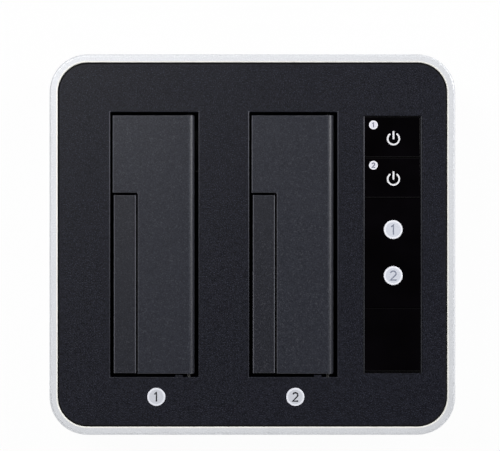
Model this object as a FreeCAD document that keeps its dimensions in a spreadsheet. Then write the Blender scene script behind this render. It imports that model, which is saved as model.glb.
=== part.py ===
import FreeCAD, Part
import math
import os
import re
import Sketcher

# A two-bay drive dock: an aluminium housing with a moulded top, two sprung door-in-door bays,
# a drive well with a SATA socket under each bay, and a strip with two power keys at the right.
# X runs to the right, Y to the rear and Z up. The origin is the middle of the footprint.

SIZES = {
    # housing
    "shellWidth": 160, "shellDepth": 150, "shellHeight": 66, "shellCorner": 15,
    "shellWall": 2.2, "rimWidth": 3.2, "rimDepth": 3.1, "rimRound": 0.9, "rimChamfer": 0.3,
    "footHeight": 2, "footRadius": 6.5, "footSeat": 0.8, "cornerInset": 16.2,
    "baseFlange": 1.2, "baseThickness": 2.5, "baseStep": 1, "basePlay": 0.2,
    "baseWall": 1.8, "baseWallHeight": 5, "baseBoss": 5, "baseBossHeight": 2, "coverBoss": 4,
    "footRound": 0.6, "portClearance": 1, "screwRadius": 1.4, "screwSpare": 1,
    "screwHeadRadius": 2.8, "screwHeadHeight": 1.4, "screwLength": 14, "screwPlay": 0.1,
    "screwSides": 12,
    "ventWidth": 2.4, "ventLength": 34, "ventPitch": 6, "ventCount": 9,
    # moulded top
    "coverDrop": 0.4, "coverThickness": 2.5, "coverGap": 0.3, "coverRound": 0.25,
    "flangeReach": 1, "flangeHeight": 2.2, "flangeWall": 4, "flangeLap": 0.5,
    "collarWall": 1.6, "collarDepth": 10.6,
    "badgeRadius": 3.57, "badgeThickness": 0.7, "badgeProud": 0.1, "badgePlay": 0.06,
    "badgeSide": 0.8, "badgeFront": 7.8,
    "nubLeft": 8.2, "nubWidth": 3, "nubReach": 0.8, "nubDrop": 1, "openingRound": 0.25,
    # bays
    "baySpread": 0.8, "bayShift": 22.096, "bayStripGap": 10.23, "bayWidth": 34.9, "bayLength": 104.5,
    # doors
    "doorDrop": 0.2, "doorPlate": 2, "doorGapLeft": 1.05, "doorGapRight": 1.55, "doorGapEnd": 1.3,
    "doorRound": 0.35, "hingeRadius": 2.3, "pinRadius": 0.8, "pinPlay": 0.05, "pinReach": 1.4,
    "ribHeight": 1.2, "ribWidth": 1, "ribPitch": 22, "ribCount": 4, "ribStart": 5,
    "lipReach": 1.8, "lipThickness": 1.5, "lipLength": 10, "lipPlay": 0.25, "lipPlace": 36, "lipRoot": 3,
    "slimWidth": 8.7, "slimLength": 70.25, "slimGapLeft": 1.5, "slimGapFront": 1.5,
    "notchGapSide": 0.75, "notchGapRear": 0.9, "notchRound": 0.7,
    "slimAxisOut": 3.8, "slimAxisDown": 3.7, "slimBarrel": 1.4, "slimPinRadius": 0.6,
    "armWidth": 4, "armReach": 4, "armInset": 10, "armHeel": 0.4, "armSlope": 1.5,
    "lugWidth": 3, "lugGap": 0.3, "lugSide": 1.6, "lugFlare": 1, "lugMiddle": 14,
    # torsion springs
    "springWire": 0.4, "springTurns": 4, "springPitch": 0.5, "springPlay": 0.25, "springRoom": 4.5,
    "springPlace": 30, "springLeg": 2, "springLift": 25, "springSides": 8,
    # drive wells and sockets
    "wellWall": 1.6, "lipRoom": 1.2, "wellLift": 2, "wellFloor": 1.5, "driveSlot": 27.6, "swingClearance": 0.9,
    "windowRear": 21, "windowFrontWall": 0.75, "wellEar": 2.8, "wellEarSpread": 24,
    "guideReach": 0.6, "guideWidth": 2, "guidePlace": 30,
    "wellScrewRadius": 1, "wellScrewLength": 5.6, "wellScrewHead": 1.9, "wellScrewHeadHeight": 1.2,
    "wellScrewSpare": 0.5,
    "socketWidth": 6, "socketLength": 44, "socketHeight": 11, "socketOut": 4.1,
    "socketPlace": -20.7, "socketPlay": 0.3, "slotWidth": 1.5, "slotDepth": 7,
    "signalLength": 10.4, "powerLength": 20.8, "slotSplit": 2.4, "slotHook": 1.2, "socketCorner": 0.8,
    "contactPitch": 1.27, "contactWidth": 0.6, "contactThickness": 0.3, "contactHeight": 5.5,
    # boards
    "boardStand": 6.9, "boardThickness": 1.6, "boardSide": 9, "boardEnd": 8,
    "boardCorner": 2, "boardNotch": 6.5, "boardScrewSide": 25, "boardScrewEnd": 6,
    "boardScrewRadius": 1.2,
    "boardScrewHead": 2.4, "boardScrewHeadHeight": 1.2, "boardScrewLength": 4.5,
    "standRadius": 3, "chipShift": 3.5, "asideShift": 9.78, "rearRow": 8.75, "canRadius": 3.1,
    "canHeight": 7.5, "canSide": 5, "canRear": 20, "canPitch": 8, "coilSize": 7, "coilHeight": 1.8,
    "coilSpread": 14, "coilOuter": 6.68, "coilInner": 7.32, "canSpread": 22,
    # rear ports
    "portWidth": 52, "portHeight": 19, "portBottom": 9.5, "portCorner": 2, "portPlay": 0.2,
    "portSink": 0.2, "portLip": 1.2, "jackPlay": 0.5, "usbPlay": 0.25, "portBack": 0.1,
    "jackX": 13, "jackWidth": 9, "jackHeight": 11, "jackDepth": 14, "jackRise": 6.5,
    "jackBore": 3.2, "jackPin": 1, "jackPinLength": 9, "jackDeep": 10,
    "usbX": -12, "usbWidth": 8.94, "usbHeight": 3.2, "usbDepth": 10, "usbWall": 0.35,
    "usbSink": 1, "usbBack": 1,
    "tongueWidth": 6.7, "tongueThickness": 0.7, "tongueLength": 6,
    # control strip
    "stripInset": 24.7, "stripWidth": 23.0, "stripLength": 101.1, "stripPlay": 0.15,
    "frameEdge": 0.45, "frameDepth": 5.4, "frameFloor": 1.2, "frameFlange": 1.3, "stripFit": 0.1,
    "keyWidth": 21.9, "keyLength": 15.6, "keyGap": 0.3, "keyThickness": 3, "keyDrop": 0.1,
    "keyTravel": 0.6, "stemRadius": 1.6, "stemPlay": 0.3, "keyRound": 0.3,
    "keyBadgeRadius": 1.72, "keyBadgeX": -7.6, "keyBadgeY": 4.95, "keyBadgeThickness": 0.4,
    "keyBadgeProud": 0.05, "discRound": 0.15,
    "windowLength": 43.05, "windowThickness": 2, "windowDrop": 0.1, "plateGap": 0.25,
    "lensRadius": 3.71, "lensX": 0.2, "lensRear": 5.9, "lensFront": -12.25, "lensPlay": 0.06,
    "lensLength": 5, "frameScrewX": 7.5, "frameScrewY": 44, "frameScrewRadius": 0.9,
    "frameScrewLength": 5, "frameScrewSpare": 0.5, "frameScrewHead": 1.8, "frameScrewHeadHeight": 1,
    "panelBoardDrop": 12, "panelBoardWidth": 20.5, "panelBoardLength": 94, "panelBoss": 2.2,
    "switchSize": 6, "switchHeight": 3.2, "plungerRadius": 1.6, "plungerPlay": 0.1,
    "plungerSink": 1.4, "plungerRise": 1.6, "plungerSpare": 0.3, "ledSize": 2, "ledHeight": 0.8,
    "ribbonWidth": 12, "ribbonThickness": 0.3, "ribbonBend": 3, "ribbonY": -32,
    "ribbonFoot": 8,
}

# positions worked out from the sizes, as expressions
COVER_TOP = "(shellHeight - coverDrop)"
COVER_UNDER = "(shellHeight - coverDrop - coverThickness)"
COLLAR_UNDER = "(shellHeight - coverDrop - collarDepth)"
BASE_TOP = "(footHeight + baseThickness)"
BOARD_UNDER = "(footHeight + baseThickness + boardStand)"
BOARD_TOP = "(footHeight + baseThickness + boardStand + boardThickness)"
BOARD_WIDTH = "(shellWidth - 2 * boardSide)"
BOARD_DEPTH = "(shellDepth - 2 * boardEnd)"
BOSS_END = "(footHeight + baseThickness + baseBossHeight)"

STRIP_X = "(shellWidth / 2 - stripInset)"
BAY_2 = f"({STRIP_X} - stripWidth / 2 - bayStripGap - bayWidth / 2)"
# the left bay stands between the shell's left side and the right bay
BAY_1 = f"(bayShift - baySpread * shellWidth / 2 + (1 - baySpread) * {BAY_2})"

BADGE_Y = "(0 - bayLength / 2 - badgeFront)"

DOOR_TOP = "(shellHeight - coverDrop - doorDrop)"
DOOR_UNDER = "(shellHeight - coverDrop - doorDrop - doorPlate)"
DOOR_LEFT = "(doorGapLeft - bayWidth / 2)"
DOOR_END = "(bayLength / 2 - doorGapEnd)"
HINGE_X = "(bayWidth / 2 - doorGapRight - hingeRadius)"
HINGE_Z = "(shellHeight - coverDrop - doorDrop - hingeRadius)"
LIP_LEFT = "(0 - bayWidth / 2 - lipReach + doorGapLeft)"
LIP_TOP = "(shellHeight - coverDrop - coverThickness - lipPlay)"

SLIM_LEFT = "(slimGapLeft - bayWidth / 2)"
SLIM_RIGHT = "(slimGapLeft - bayWidth / 2 + slimWidth)"
SLIM_FRONT = "(slimGapFront - bayLength / 2)"
SLIM_REAR = "(slimGapFront - bayLength / 2 + slimLength)"
SLIM_MIDDLE = "(slimGapFront - bayLength / 2 + slimLength / 2)"
SLIM_X = "(slimGapLeft - bayWidth / 2 + slimWidth + slimAxisOut)"
SLIM_Z = "(shellHeight - coverDrop - doorDrop - slimAxisDown)"
NOTCH_X = f"({SLIM_RIGHT} + notchGapSide)"
NOTCH_Y = f"({SLIM_REAR} + notchGapRear)"

LEDGE_TOP = f"({HINGE_Z} - ({HINGE_X} - {LIP_LEFT}) - swingClearance)"
WELL_UNDER = f"({BOARD_TOP} + wellLift)"
FLOOR_TOP = f"({BOARD_TOP} + wellLift + wellFloor)"
SLOT_RIGHT = "(driveSlot - bayWidth / 2)"
SOCKET_X = "(socketOut - bayWidth / 2)"
EAR_Y = "(bayLength / 2 + wellWall + wellEar)"
WINDOW_TOP = f"({HINGE_Z} - ({HINGE_X} - {SLIM_X}) + slimBarrel + swingClearance)"

FRAME_FLOOR_TOP = f"({COVER_TOP} - frameDepth + frameFloor)"
FRAME_UNDER = f"({COVER_TOP} - frameDepth)"
PANEL_BOARD_TOP = f"({COVER_TOP} - panelBoardDrop)"
PANEL_BOARD_UNDER = f"({COVER_TOP} - panelBoardDrop - boardThickness)"
KEY_TOP = f"({COVER_TOP} - keyDrop)"
KEY_REAR = "(stripLength / 2 - frameEdge - stripFit)"
KEY_PITCH = "(keyLength + keyGap)"
WINDOW_REAR = f"({KEY_REAR} - 2 * {KEY_PITCH})"
WINDOW_FRONT = f"({WINDOW_REAR} - windowLength)"
PLATE_REAR = f"({WINDOW_FRONT} - plateGap)"
PLATE_FRONT = "(stripFit + frameEdge - stripLength / 2)"
KEY_Y = (f"({KEY_REAR} - keyLength / 2)", f"({KEY_REAR} - keyLength / 2 - {KEY_PITCH})")
PORT_TOP = "(portBottom + portHeight)"
SHELL_REAR = "(shellDepth / 2)"

doc = FreeCAD.newDocument("DriveDock")
sheet = doc.addObject("Spreadsheet::Sheet", "Sizes")
for line, (word, number) in enumerate(SIZES.items(), 1):
    sheet.set(f"A{line}", word)
    sheet.set(f"B{line}", str(number))
    sheet.setAlias(f"B{line}", word)
doc.recompute()

WORDS = re.compile(r"\b(" + "|".join(SIZES) + r")\b")
pieces = []


def linked(text):
    """An expression with each size read from the sheet."""
    return WORDS.sub(r"Sizes.\1", str(text))


def value(text):
    return float(sheet.evalExpression(linked(text)))


def bind(thing, **properties):
    """Ties properties to expressions; an underscore in a name stands for a dot."""
    for name, text in properties.items():
        thing.setExpression(name.replace("_", "."), linked(text))


class Outline:
    """A closed loop of a sketch, held by the coordinates of its corners or centre."""

    def pin(self, sketch, shape, point, x, y):
        for kind, text in (("DistanceX", x), ("DistanceY", y)):
            number = sketch.addConstraint(Sketcher.Constraint(kind, -1, 1, shape, point, value(text)))
            sketch.setExpression(f"Constraints[{number}]", linked(text))


class Polygon(Outline):
    def __init__(self, *corners):
        self.corners = corners

    def draw(self, sketch):
        spots = [FreeCAD.Vector(value(x), value(y), 0) for x, y in self.corners]
        first = sketch.GeometryCount
        total = len(spots)
        for place in range(total):
            sketch.addGeometry(Part.LineSegment(spots[place], spots[(place + 1) % total]), False)
        for place in range(total):
            following = first + (place + 1) % total
            sketch.addConstraint(Sketcher.Constraint("Coincident", first + place, 2, following, 1))
        for place, (x, y) in enumerate(self.corners):
            self.pin(sketch, first + place, 1, x, y)


def rectangle(left, front, right, rear):
    return Polygon((left, front), (right, front), (right, rear), (left, rear))


class Disc(Outline):
    def __init__(self, x, y, radius):
        self.x, self.y, self.radius = x, y, radius

    def draw(self, sketch):
        centre = FreeCAD.Vector(value(self.x), value(self.y), 0)
        up = FreeCAD.Vector(0, 0, 1)
        shape = sketch.addGeometry(Part.Circle(centre, up, value(self.radius)), False)
        self.pin(sketch, shape, 3, self.x, self.y)
        number = sketch.addConstraint(Sketcher.Constraint("Radius", shape, value(self.radius)))
        sketch.setExpression(f"Constraints[{number}]", linked(self.radius))


class Rounded(Outline):
    """A rectangle with four equal round corners."""

    def __init__(self, left, front, right, rear, radius):
        self.sides = (left, front, right, rear)
        self.radius = radius

    def draw(self, sketch):
        left, front, right, rear = self.sides
        radius = value(self.radius)
        centres = ((right, front, "-", "+"), (right, rear, "-", "-"),
                   (left, rear, "+", "-"), (left, front, "+", "+"))
        places = [(f"({x}) {dx} ({self.radius})", f"({y}) {dy} ({self.radius})")
                  for x, y, dx, dy in centres]
        first = sketch.GeometryCount
        up = FreeCAD.Vector(0, 0, 1)
        start = -math.pi / 2
        for turn, (x, y) in enumerate(places):
            ring = Part.Circle(FreeCAD.Vector(value(x), value(y), 0), up, radius)
            low = start + turn * math.pi / 2
            sketch.addGeometry(Part.ArcOfCircle(ring, low, low + math.pi / 2), False)
        for turn in range(4):
            here = sketch.getPoint(first + turn, 2)
            there = sketch.getPoint(first + (turn + 1) % 4, 1)
            sketch.addGeometry(Part.LineSegment(here, there), False)
        for turn in range(4):
            arc, line = first + turn, first + 4 + turn
            sketch.addConstraint(Sketcher.Constraint("Tangent", arc, 2, line, 1))
            sketch.addConstraint(Sketcher.Constraint("Tangent", line, 2, first + (turn + 1) % 4, 1))
        for turn, (x, y) in enumerate(places):
            self.pin(sketch, first + turn, 3, x, y)
            number = sketch.addConstraint(Sketcher.Constraint("Radius", first + turn, radius))
            sketch.setExpression(f"Constraints[{number}]", linked(self.radius))


class Moulding:
    """A PartDesign body built from pads and pockets between two heights along a plane's normal."""

    def __init__(self, label, x="0", y="0"):
        self.body = doc.addObject("PartDesign::Body", label)
        self.body.Label = label
        bind(self.body, Placement_Base_x=x, Placement_Base_y=y)
        pieces.append(self.body)

    def sketch(self, plane, height, outlines):
        drawing = self.body.newObject("Sketcher::SketchObject", self.body.Name + "Sketch")
        flat = [part for part in self.body.Origin.OriginFeatures if part.Role == plane + "_Plane"]
        drawing.AttachmentSupport = [(flat[0], "")]
        drawing.MapMode = "FlatFace"
        bind(drawing, AttachmentOffset_Base_z=height)
        for outline in outlines:
            outline.draw(drawing)
        drawing.Visibility = False
        return drawing

    def pad(self, outlines, low, high, plane="XY"):
        start = f"0 - ({high})" if plane == "XZ" else low
        drawing = self.sketch(plane, start, outlines)
        feature = self.body.newObject("PartDesign::Pad", self.body.Name + "Pad")
        feature.Profile = drawing
        bind(feature, Length=f"{high} - ({low})")
        return feature

    def cut(self, outlines, low, high, plane="XY"):
        start = f"0 - ({low})" if plane == "XZ" else high
        drawing = self.sketch(plane, start, outlines)
        feature = self.body.newObject("PartDesign::Pocket", self.body.Name + "Pocket")
        feature.Profile = drawing
        bind(feature, Length=f"{high} - ({low})")
        return feature

    def repeat(self, features, axis, length, count):
        """A row of copies along X or Y; count is the name of a whole number."""
        pattern = self.body.newObject("PartDesign::LinearPattern", self.body.Name + "Row")
        pattern.Originals = features
        along = [part for part in self.body.Origin.OriginFeatures if part.Role == axis + "_Axis"]
        pattern.Direction = (along[0], [""])
        bind(pattern, Length=length, Occurrences=count)
        self.body.Tip = pattern
        return pattern

    def round(self, radius, chosen, kind="Fillet"):
        """Fillets or chamfers the edges of the newest feature for which chosen(edge) holds."""
        doc.recompute()
        base = self.body.Tip
        names = [f"Edge{place}" for place, edge in enumerate(base.Shape.Edges, 1) if chosen(edge)]
        feature = self.body.newObject("PartDesign::" + kind, self.body.Name + kind)
        feature.Base = (base, names)
        if kind == "Fillet":
            bind(feature, Radius=radius)
        else:
            bind(feature, Size=radius)
        return feature


def level(edge, height):
    """Whether an edge lies flat at a height."""
    box = edge.BoundBox
    return abs(box.ZMin - height) < 1e-4 and abs(box.ZMax - height) < 1e-4


def block(name, low, high):
    """A box between two corners, each given as three expressions."""
    shape = doc.addObject("Part::Box", name)
    bind(shape, Placement_Base_x=low[0], Placement_Base_y=low[1], Placement_Base_z=low[2],
         Length=f"{high[0]} - ({low[0]})", Width=f"{high[1]} - ({low[1]})",
         Height=f"{high[2]} - ({low[2]})")
    return shape


def rod(name, x, y, low, high, radius):
    """An upright cylinder."""
    shape = doc.addObject("Part::Cylinder", name)
    bind(shape, Placement_Base_x=x, Placement_Base_y=y, Placement_Base_z=low,
         Height=f"{high} - ({low})", Radius=radius)
    return shape


def faceted(name, x, y, low, high, radius):
    """An upright rod with flat sides, for what repeats out of sight."""
    shape = doc.addObject("Part::Prism", name)
    bind(shape, Placement_Base_x=x, Placement_Base_y=y, Placement_Base_z=low,
         Height=f"{high} - ({low})", Circumradius=radius, Polygon="screwSides")
    return shape


def lying(name, x, z, front, rear, radius):
    """A cylinder along Y."""
    shape = doc.addObject("Part::Cylinder", name)
    shape.Placement.Rotation = FreeCAD.Rotation(FreeCAD.Vector(1, 0, 0), -90)
    bind(shape, Placement_Base_x=x, Placement_Base_y=front, Placement_Base_z=z,
         Height=f"{rear} - ({front})", Radius=radius)
    return shape


def screw(name, x, y, seat, head_height, head_radius, end, radius):
    """A head on a seat and a shank to the end; a head height below 0 hangs under the seat."""
    tip = f"{seat} + ({head_height})"
    hangs = head_height.startswith("0 -")
    ends = (tip, seat) if hangs else (seat, tip)
    shank = (seat, end) if hangs else (end, seat)
    whole = doc.addObject("Part::MultiFuse", name)
    whole.Shapes = [faceted(name + "Head", x, y, *ends, head_radius),
                    faceted(name + "Shank", x, y, *shank, radius)]
    return whole


def group(label, shapes, x="0", y="0"):
    """Separate solids that share one node."""
    whole = doc.addObject("Part::Compound", label)
    whole.Links = shapes
    return finished(whole, label, x, y)


def finished(shape, label, x="0", y="0"):
    shape.Label = label
    bind(shape, Placement_Base_x=x, Placement_Base_y=y)
    pieces.append(shape)
    return shape


def corners(x, y):
    """The four points at plus and minus x and y."""
    return [(sx + x, sy + y) for sx in ("0 - ", "0 + ") for sy in ("0 - ", "0 + ")]


CORNER = corners("(shellWidth / 2 - cornerInset)", "(shellDepth / 2 - cornerInset)")
BOARD_SCREW_X = f"({BOARD_WIDTH} / 2 - boardScrewSide)"
BOARD_CORNER = corners(BOARD_SCREW_X, f"({BOARD_DEPTH} / 2 - boardScrewEnd)")


def centred(width, depth, margin, radius=None):
    """A rectangle about the origin, drawn in by a margin, with round corners if asked."""
    half = (f"(({width}) / 2 - ({margin}))", f"(({depth}) / 2 - ({margin}))")
    sides = ("0 - " + half[0], "0 - " + half[1], half[0], half[1])
    return Rounded(*sides, radius) if radius else rectangle(*sides)


def shell():
    """The aluminium housing: a rounded tube with a lip round its top and a window for the ports."""
    part = Moulding("side_shell")
    low = "(footHeight + baseFlange)"
    part.pad([centred("shellWidth", "shellDepth", "0", "shellCorner")], low, "shellHeight")
    part.cut([centred("shellWidth", "shellDepth", "rimWidth", "shellCorner - rimWidth")],
             low, "shellHeight")
    part.cut([centred("shellWidth", "shellDepth", "shellWall", "shellCorner - shellWall")],
             low, "shellHeight - rimDepth")
    part.cut([Rounded("0 - portWidth / 2", "portBottom", "portWidth / 2", PORT_TOP, "portCorner")],
             "shellDepth / 2 - rimWidth - 1", "shellDepth / 2 + 1", "XZ")
    top = value("shellHeight")
    outside = value("shellWidth / 2 - rimWidth / 2")
    depth = value("shellDepth / 2 - rimWidth / 2")

    def outer(edge):
        box = edge.BoundBox
        far = max(abs(box.XMin), abs(box.XMax)) > outside or max(abs(box.YMin), abs(box.YMax)) > depth
        return level(edge, top) and far

    def inner(edge):
        box = edge.BoundBox
        near = max(abs(box.XMin), abs(box.XMax)) < outside and max(abs(box.YMin), abs(box.YMax)) < depth
        return level(edge, top) and near

    part.round("rimRound", outer)
    part.round("rimChamfer", inner, "Chamfer")


def base():
    """The base: a plate under the shell, a wall inside it, stand-offs, screw bosses and vents."""
    part = Moulding("base_cover")
    part.pad([centred("shellWidth", "shellDepth", "baseStep", "shellCorner - baseStep")],
             "footHeight", "(footHeight + baseFlange)")
    inside = "shellWall + basePlay"
    part.pad([centred("shellWidth", "shellDepth", inside, "shellCorner - shellWall - basePlay")],
             "(footHeight + baseFlange)", BASE_TOP)
    wall = "shellWall + basePlay + baseWall"
    part.pad([centred("shellWidth", "shellDepth", inside, "shellCorner - shellWall - basePlay"),
              centred("shellWidth", "shellDepth", wall,
                      "shellCorner - shellWall - basePlay - baseWall")],
             BASE_TOP, f"({BASE_TOP} + baseWallHeight)")
    part.pad([Disc(x, y, "baseBoss") for x, y in CORNER], BASE_TOP, BOSS_END)
    part.pad([Disc(x, y, "standRadius") for x, y in BOARD_CORNER], BASE_TOP, BOARD_UNDER)
    part.cut([Disc(x, y, "footRadius + screwPlay") for x, y in CORNER],
             "footHeight", "(footHeight + footSeat)")
    part.cut([Disc(x, y, "screwHeadRadius + screwPlay") for x, y in CORNER],
             "footHeight", "(footHeight + footSeat + screwHeadHeight)")
    part.cut([Disc(x, y, "screwRadius + screwPlay") for x, y in CORNER], "footHeight", BOSS_END)
    part.cut([Disc(x, y, "boardScrewRadius") for x, y in BOARD_CORNER], BASE_TOP, BOARD_UNDER)
    # the wall stops short of the rear port plate
    side = "(portWidth / 2 + portLip + portClearance)"
    part.cut([rectangle("0 - " + side, "shellDepth / 2 - shellWall - basePlay - baseWall",
                        side, "shellDepth / 2 - shellWall")],
             BASE_TOP, f"({BASE_TOP} + baseWallHeight)")
    reach = "(ventPitch * (ventCount - 1))"
    slot = part.cut([rectangle(f"0 - {reach} / 2 - ventWidth / 2", "0 - ventLength / 2",
                               f"ventWidth / 2 - {reach} / 2", "ventLength / 2")], "footHeight", BASE_TOP)
    part.repeat([slot], "X", reach, "ventCount")


def feet():
    """Four rubber discs let into the base under the case screws."""
    for place, (x, y) in enumerate(CORNER, 1):
        part = Moulding(f"foot_{place}", x, y)
        part.pad([Disc("0", "0", "footRadius")], "0", "(footHeight + footSeat)")
        part.round("footRound", lambda edge: level(edge, 0), "Chamfer")


def bay_places():
    return [("1", BAY_1), ("2", BAY_2)]


def shifted(text, centre):
    return f"({centre} + {text})"


def ear_places():
    """Where the four screws of a well stand: x from the bay's middle, and the side in Y."""
    return [(side + "wellEarSpread / 2", sign) for side in ("0 - ", "0 + ") for sign in ("0 - ", "0 + ")]


def band(sign, near, far):
    """The stretch between two distances from the middle, on the side that sign names."""
    return (f"(0 - {far})", f"(0 - {near})") if sign == "0 - " else (near, far)


def cover():
    """The moulded top: plate, flange under the shell's lip, bay collars, bosses and openings."""
    part = Moulding("top_cover")
    flange = "(shellHeight - rimDepth)"
    edge = "rimWidth + coverGap"
    plate = centred("shellWidth", "shellDepth", edge, "shellCorner - rimWidth - coverGap")
    reach = "rimWidth + coverGap - flangeReach - coverGap"
    part.pad([centred("shellWidth", "shellDepth", reach, "shellCorner - rimWidth + flangeReach"),
              centred("shellWidth", "shellDepth", f"{reach} + flangeWall",
                      "shellCorner - rimWidth + flangeReach - flangeWall")],
             f"({flange} - flangeHeight)", flange)
    part.pad([plate], COVER_UNDER, COVER_TOP)
    ring = centred("shellWidth", "shellDepth", f"{edge} + flangeWall",
                   "shellCorner - rimWidth - coverGap - flangeWall")
    part.pad([plate, ring], f"({flange} - flangeLap)", COVER_UNDER)
    for _, centre in bay_places():
        wide = "(bayWidth / 2 + collarWall)"
        long = "(bayLength / 2 + collarWall)"
        part.pad([rectangle(shifted("0 - " + wide, centre), "0 - " + long,
                            shifted(wide, centre), long)], COLLAR_UNDER, COVER_UNDER)
        for x, sign in ear_places():
            low, high = band(sign, "bayLength / 2", EAR_Y)
            sides = [shifted(f"{x} {way} wellEar", centre) for way in "-+"]
            part.pad([rectangle(sides[0], low, sides[1], high)], COLLAR_UNDER, COVER_UNDER)
            part.pad([Disc(shifted(x, centre), sign + EAR_Y, "wellEar")], COLLAR_UNDER, COVER_UNDER)
    part.pad([Disc(x, y, "coverBoss") for x, y in CORNER], BOSS_END, COVER_UNDER)
    for _, centre in bay_places():
        part.cut([rectangle(shifted("0 - bayWidth / 2", centre), "0 - bayLength / 2",
                            shifted("bayWidth / 2", centre), "bayLength / 2")],
                 COLLAR_UNDER, COVER_TOP)
        # the collar is open at the left, where the stop lips of the doors move
        part.cut([rectangle(shifted("0 - bayWidth / 2 - collarWall", centre), "0 - bayLength / 2",
                            shifted("0 - bayWidth / 2", centre), "bayLength / 2")], COLLAR_UNDER, COVER_UNDER)
        part.pad([rectangle(shifted("nubLeft", centre), "0 - bayLength / 2 - collarWall",
                            shifted("nubLeft + nubWidth", centre), "nubReach - bayLength / 2")],
                 COLLAR_UNDER, f"({COVER_TOP} - nubDrop)")
        part.cut([Disc(shifted(HINGE_X, centre), HINGE_Z, "pinRadius")],
                 "0 - bayLength / 2 - pinReach", "bayLength / 2 + pinReach", "XZ")
        part.cut([Disc(shifted("badgeSide", centre), BADGE_Y, "badgeRadius + badgePlay")],
                 f"({COVER_TOP} + badgeProud - badgeThickness)", COVER_TOP)
        part.cut([Disc(shifted(x, centre), sign + EAR_Y, "wellScrewRadius") for x, sign in ear_places()],
                 COLLAR_UNDER, f"({COLLAR_UNDER} + wellScrewLength)")
    half = "(stripWidth / 2 + stripPlay)"
    part.cut([rectangle(f"{STRIP_X} - {half}", "0 - stripLength / 2 - stripPlay",
                        f"{STRIP_X} + {half}", "stripLength / 2 + stripPlay")], FRAME_UNDER, COVER_TOP)
    part.cut([Disc(x, y, "screwRadius") for x, y in CORNER], BOSS_END,
             f"({BOSS_END} + screwLength)")
    top = value(COVER_TOP)
    reach_x = value("shellWidth / 2 - rimWidth - coverGap - rimWidth")
    reach_y = value("shellDepth / 2 - rimWidth - coverGap - rimWidth")

    def rim(edge):
        box = edge.BoundBox
        return level(edge, top) and (max(abs(box.XMin), abs(box.XMax)) > reach_x
                                     or max(abs(box.YMin), abs(box.YMax)) > reach_y)

    def opening(edge):
        return level(edge, top) and not rim(edge) and isinstance(edge.Curve, Part.Line)

    part.round("coverRound", rim, "Chamfer")
    part.round("openingRound", opening)


def well(number, centre):
    """A drive well: full width under the doors, then a ledge and a slot as wide as a drive."""
    part = Moulding(f"drive_well_{number}", centre)
    near, right = "0 - bayWidth / 2 - lipRoom", "bayWidth / 2 + wellWall"
    left = near + " - wellWall"
    outside = Polygon((left, WELL_UNDER), (f"{SLOT_RIGHT} + wellWall", WELL_UNDER),
                      (f"{SLOT_RIGHT} + wellWall", f"{LEDGE_TOP} - wellWall"),
                      (right, f"{LEDGE_TOP} - wellWall"), (right, COLLAR_UNDER), (left, COLLAR_UNDER))
    inside = Polygon((near, FLOOR_TOP), (SLOT_RIGHT, FLOOR_TOP), (SLOT_RIGHT, LEDGE_TOP),
                     ("bayWidth / 2", LEDGE_TOP), ("bayWidth / 2", COLLAR_UNDER), (near, COLLAR_UNDER))
    ends = "(bayLength / 2 + wellWall)"
    part.pad([outside], f"(0 - {ends})", ends, "XZ")
    for x, sign in ear_places():
        low, high = band(sign, ends, EAR_Y)
        part.pad([rectangle(f"{x} - wellEar", low, f"{x} + wellEar", high)],
                 f"({COLLAR_UNDER} - wellWall)", COLLAR_UNDER)
        part.pad([Disc(x, sign + EAR_Y, "wellEar")], f"({COLLAR_UNDER} - wellWall)", COLLAR_UNDER)
    part.cut([inside], "0 - bayLength / 2", "bayLength / 2", "XZ")
    part.cut([Disc(x, sign + EAR_Y, "wellScrewRadius + screwPlay") for x, sign in ear_places()],
             f"({COLLAR_UNDER} - wellWall)", COLLAR_UNDER)
    # the open doors swing through this window in the hinge-side wall
    part.cut([rectangle("windowFrontWall - bayLength / 2", LEDGE_TOP, "windowRear", WINDOW_TOP)],
             "bayWidth / 2", "bayWidth / 2 + wellWall", "YZ")
    # guides that steady a drive in the narrow part of the well
    for start, end in ((near, "guideReach - bayWidth / 2"), (f"{SLOT_RIGHT} - guideReach", SLOT_RIGHT)):
        for y in ("0 - guidePlace", "guidePlace"):
            part.pad([rectangle(start, f"{y} - guideWidth / 2", end, f"{y} + guideWidth / 2")],
                     FLOOR_TOP, f"({LEDGE_TOP} - guideWidth)")
    half = "(socketWidth / 2 + socketPlay)"
    part.cut([rectangle(f"{SOCKET_X} - {half}", "socketPlace - socketLength / 2 - socketPlay",
                        f"{SOCKET_X} + {half}", "socketPlace + socketLength / 2 + socketPlay")],
             WELL_UNDER, FLOOR_TOP)


def stop_lip(part, edge, middle):
    """A lip that rests under the cover and stops a door whose free edge is given."""
    root = f"({edge} + lipRoot)"
    part.pad([Polygon((LIP_LEFT, f"{LIP_TOP} - lipThickness"), (root, f"{LIP_TOP} - lipThickness"),
                      (root, DOOR_UNDER), (edge, DOOR_UNDER), (edge, LIP_TOP), (LIP_LEFT, LIP_TOP))],
             f"({middle} - lipLength / 2)", f"({middle} + lipLength / 2)", "XZ")


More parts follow.
